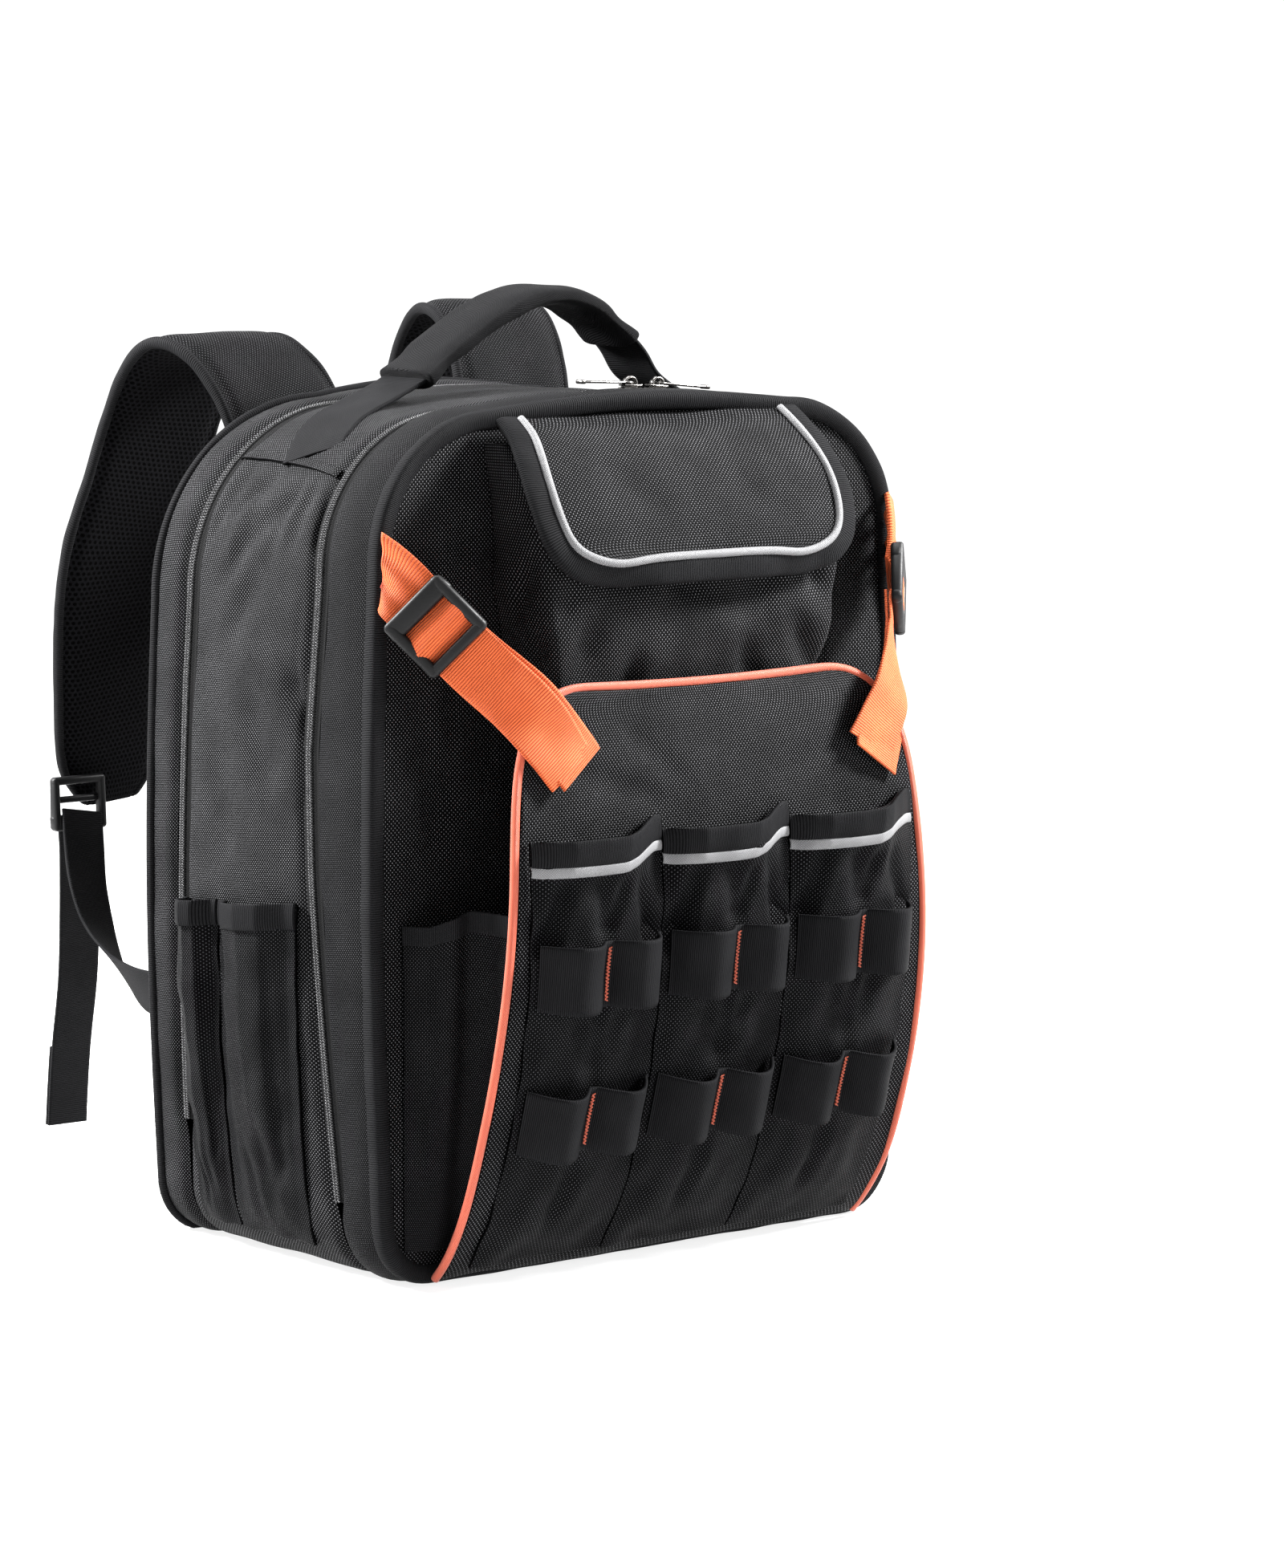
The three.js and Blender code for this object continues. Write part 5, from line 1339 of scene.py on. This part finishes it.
def grip_place(u, v):
    angle = 2 * pi * u
    cuff = bell(v / 0.05) + bell((1 - v) / 0.05)
    narrow = bell((v - 0.1) / 0.05) + bell((v - 0.9) / 0.05)
    width = GRIP_WIDTH * (1 - 0.05 * narrow + 0.03 * cuff) / 2
    thick = GRIP_THICKNESS * (1 - 0.1 * narrow + 0.12 * cuff) / 2
    c, s = cos(angle), sin(angle)
    across = width * copysign(abs(c) ** 0.55, c)
    lift = thick * copysign(abs(s) ** 0.8, s)
    return handle(blend(GRIP_FROM, GRIP_TO, v), across, 0.75 + lift)


finish = Finish("slanted_nylon_weave", 0.03)
across, along = finish.grain()
rows = ((across + along) / 0.0016).wave()
dots = ((across - along) / 0.0013).wave()
height = rows ** 0.6 * (dots * 0.6 + 0.4)
slanted_nylon = finish.join(finish.mix((height * 1.1).capped(), NYLON_DARK, (0.011, 0.011, 0.0118, 1)),
                            finish.bump(height, 0.00035), 0.7 - height * 0.2)
grip = sew("grip_wrap", 48, 90, grip_place, (104, handle_line.length * 0.46), slanted_nylon, "padding",
           "handle_grip", lumps=(0.9, 15), closed=True, capped=True)

# Shoulder straps: foam between a nylon face and a mesh lining, bound along both edges with ribbed tape.
# They are sewn into the back panel, rise over the top and hang down behind the bag.
STRAP_WIDTH = 75
STRAP_THICKNESS = 11
STRAP_SPREAD = 75
STRAP_ROUTE = [
    (7, 404, 0), (8, 422, 2), (17, 442, 8), (34, 457, 15), (55, 459, 20),
    (74, 445, 22), (90, 417, 24), (102, 385, 28),
    (116, 350, 33), (127, 319, 32), (137, 284, 28), (146, 252, 23), (151, 230, 20), (152, 206, 18),
]
STRAP_WIDTHS = [[0, 1], [0.45, 1], [0.8, 0.9], [0.9, 0.87], [0.95, 0.79], [0.98, 0.63], [1, 0.45]]
STRAP_SIDES = [("left", -1, 0, 1), ("right", 1, 15, 0.2)]
for side_name, side, extra_rise, drift_share in STRAP_SIDES:
    marks = []
    for i, (back, height, drift) in enumerate(STRAP_ROUTE):
        share = i / (len(STRAP_ROUTE) - 1)
        lift = extra_rise * sin(pi * min(share * 1.4, 1))
        sway = drift * blend(drift_share, 1, share)
        marks.append((side * (STRAP_SPREAD + sway), BACK_Y + back, height + lift))
    line = course(marks)
    shoulder = lane(line, lambda share: (1, 0, 0))

    def half_width(share):
        return STRAP_WIDTH / 2 * flowing(STRAP_WIDTHS, share)

    def strap_skin(direction):
        def place(u, v):
            across = (2 * u - 1) * (half_width(v) - 1)
            edge = abs(2 * u - 1)
            pad = STRAP_THICKNESS / 2 * (1 - 0.72 * edge**6) * (1 - 0.6 * exp(-((1 - v) * 40)))
            groove = 1.2 * bell((edge - 0.86) / 0.04)
            return shoulder(v, across, direction * (pad - groove))
        return place

    for skin_name, direction, material in (("face", 1, shaded_nylon), ("lining", -1, spacer_mesh)):
        skin = cloth(f"strap_{skin_name}_{side_name}", 28, 90, strap_skin(direction), (STRAP_WIDTH, line.length))
        shape = bmesh.new()
        shape.from_mesh(skin.data)
        shape.normal_update()
        shape.faces.ensure_lookup_table()
        middle_face = shape.faces[len(shape.faces) // 2 + 20]
        near = shoulder(0.5, 0, 0) * MM
        if (middle_face.calc_center_median() - near).dot(middle_face.normal) < 0:
            bmesh.ops.reverse_faces(shape, faces=shape.faces)
        shape.to_mesh(skin.data)
        shape.free()
        press(skin, [], lumps=1.0, lump_size=28)
        fasten(skin, material, f"shoulder_strap_{side_name}")
    for edge_name, edge in (("inner", -1), ("outer", 1)):

        def edge_place(u, v):
            angle = 2 * pi * u
            thin = 1 - 0.5 * exp(-((1 - v) * 40))
            return shoulder(v, edge * (half_width(v) - 2) + 2.6 * cos(angle), 3.4 * thin * sin(angle))

        sew(f"strap_edge_{side_name}_{edge_name}", 14, 150, edge_place, (19, line.length), black_tape,
            "black_webbing", f"shoulder_strap_{side_name}", lumps=(0.4, 12), closed=True, capped=True)

# Strap adjusters: a small ladder lock at the foot of each strap, webbing from it to the foot of the back pad,
# and a hanging tail whose end is folded over and sewn.
LOCK_CENTRE = (-120, 241, 208)
LOWER_WIDTH = 25
WEBBING_STEPS = [(0, -4.4, -4), (-3, -10, -20), (-10, -24, -42), (-14, -42, -66), (-22, -70, -80), (-32, -105, -86),
                 (-38, -142, -86)]
TAIL_STEPS = [(2, 3, -13), (5, 6, -28), (10, 14, -55), (16, 27, -98), (20, 39, -136), (22, 46, -170), (22, 48, -187)]
for side_name, side in SIDES:
    centre = Vector((-side * LOCK_CENTRE[0], LOCK_CENTRE[1], LOCK_CENTRE[2]))

    def route(steps):
        return course([centre + Vector((-side * x, y, z)) for x, y, z in steps])

    lie = Matrix.Translation(centre + Vector((0, 2.5, 0))) @ Matrix.Rotation(pi / 2, 4, "X")
    lock = ladder_lock(f"adjuster_{side_name}", 35, 30.4, 5, 9, 5, lie)
    fasten(lock, black_plastic, f"strap_lock_{side_name}")

    webbing_line, tail_line = route(WEBBING_STEPS), route(TAIL_STEPS)
    webbing = lane(webbing_line, lambda share: Vector((1, 0, 0)).lerp(Vector((-side * 0.1, 0, side)), share))
    tail = lane(tail_line, lambda share: (1, 0, 0))
    for name, rows, place, length, node in [
        ("adjuster_webbing", 60, lambda u, v: webbing(v, u * LOWER_WIDTH, 0.8), webbing_line.length, "lower_webbing"),
        ("adjuster_tail", 60, lambda u, v: tail(v, u * LOWER_WIDTH, 0.8 + 0.8 * sin(v * 9)), tail_line.length,
         "strap_tail"),
        ("tail_fold", 20, lambda u, v: tail(0.745 + 0.255 * v, u * (LOWER_WIDTH - 0.4), 3.0 + 0.8 * sin(6.7 + v * 2)),
         tail_line.length * 0.25, "strap_tail"),
    ]:
        sew(f"{name}_{side_name}", 8, rows, lambda u, v: place(u - 0.5, v), (LOWER_WIDTH, length), black_tape,
            "black_webbing", f"{node}_{side_name}", thickness=1.5)
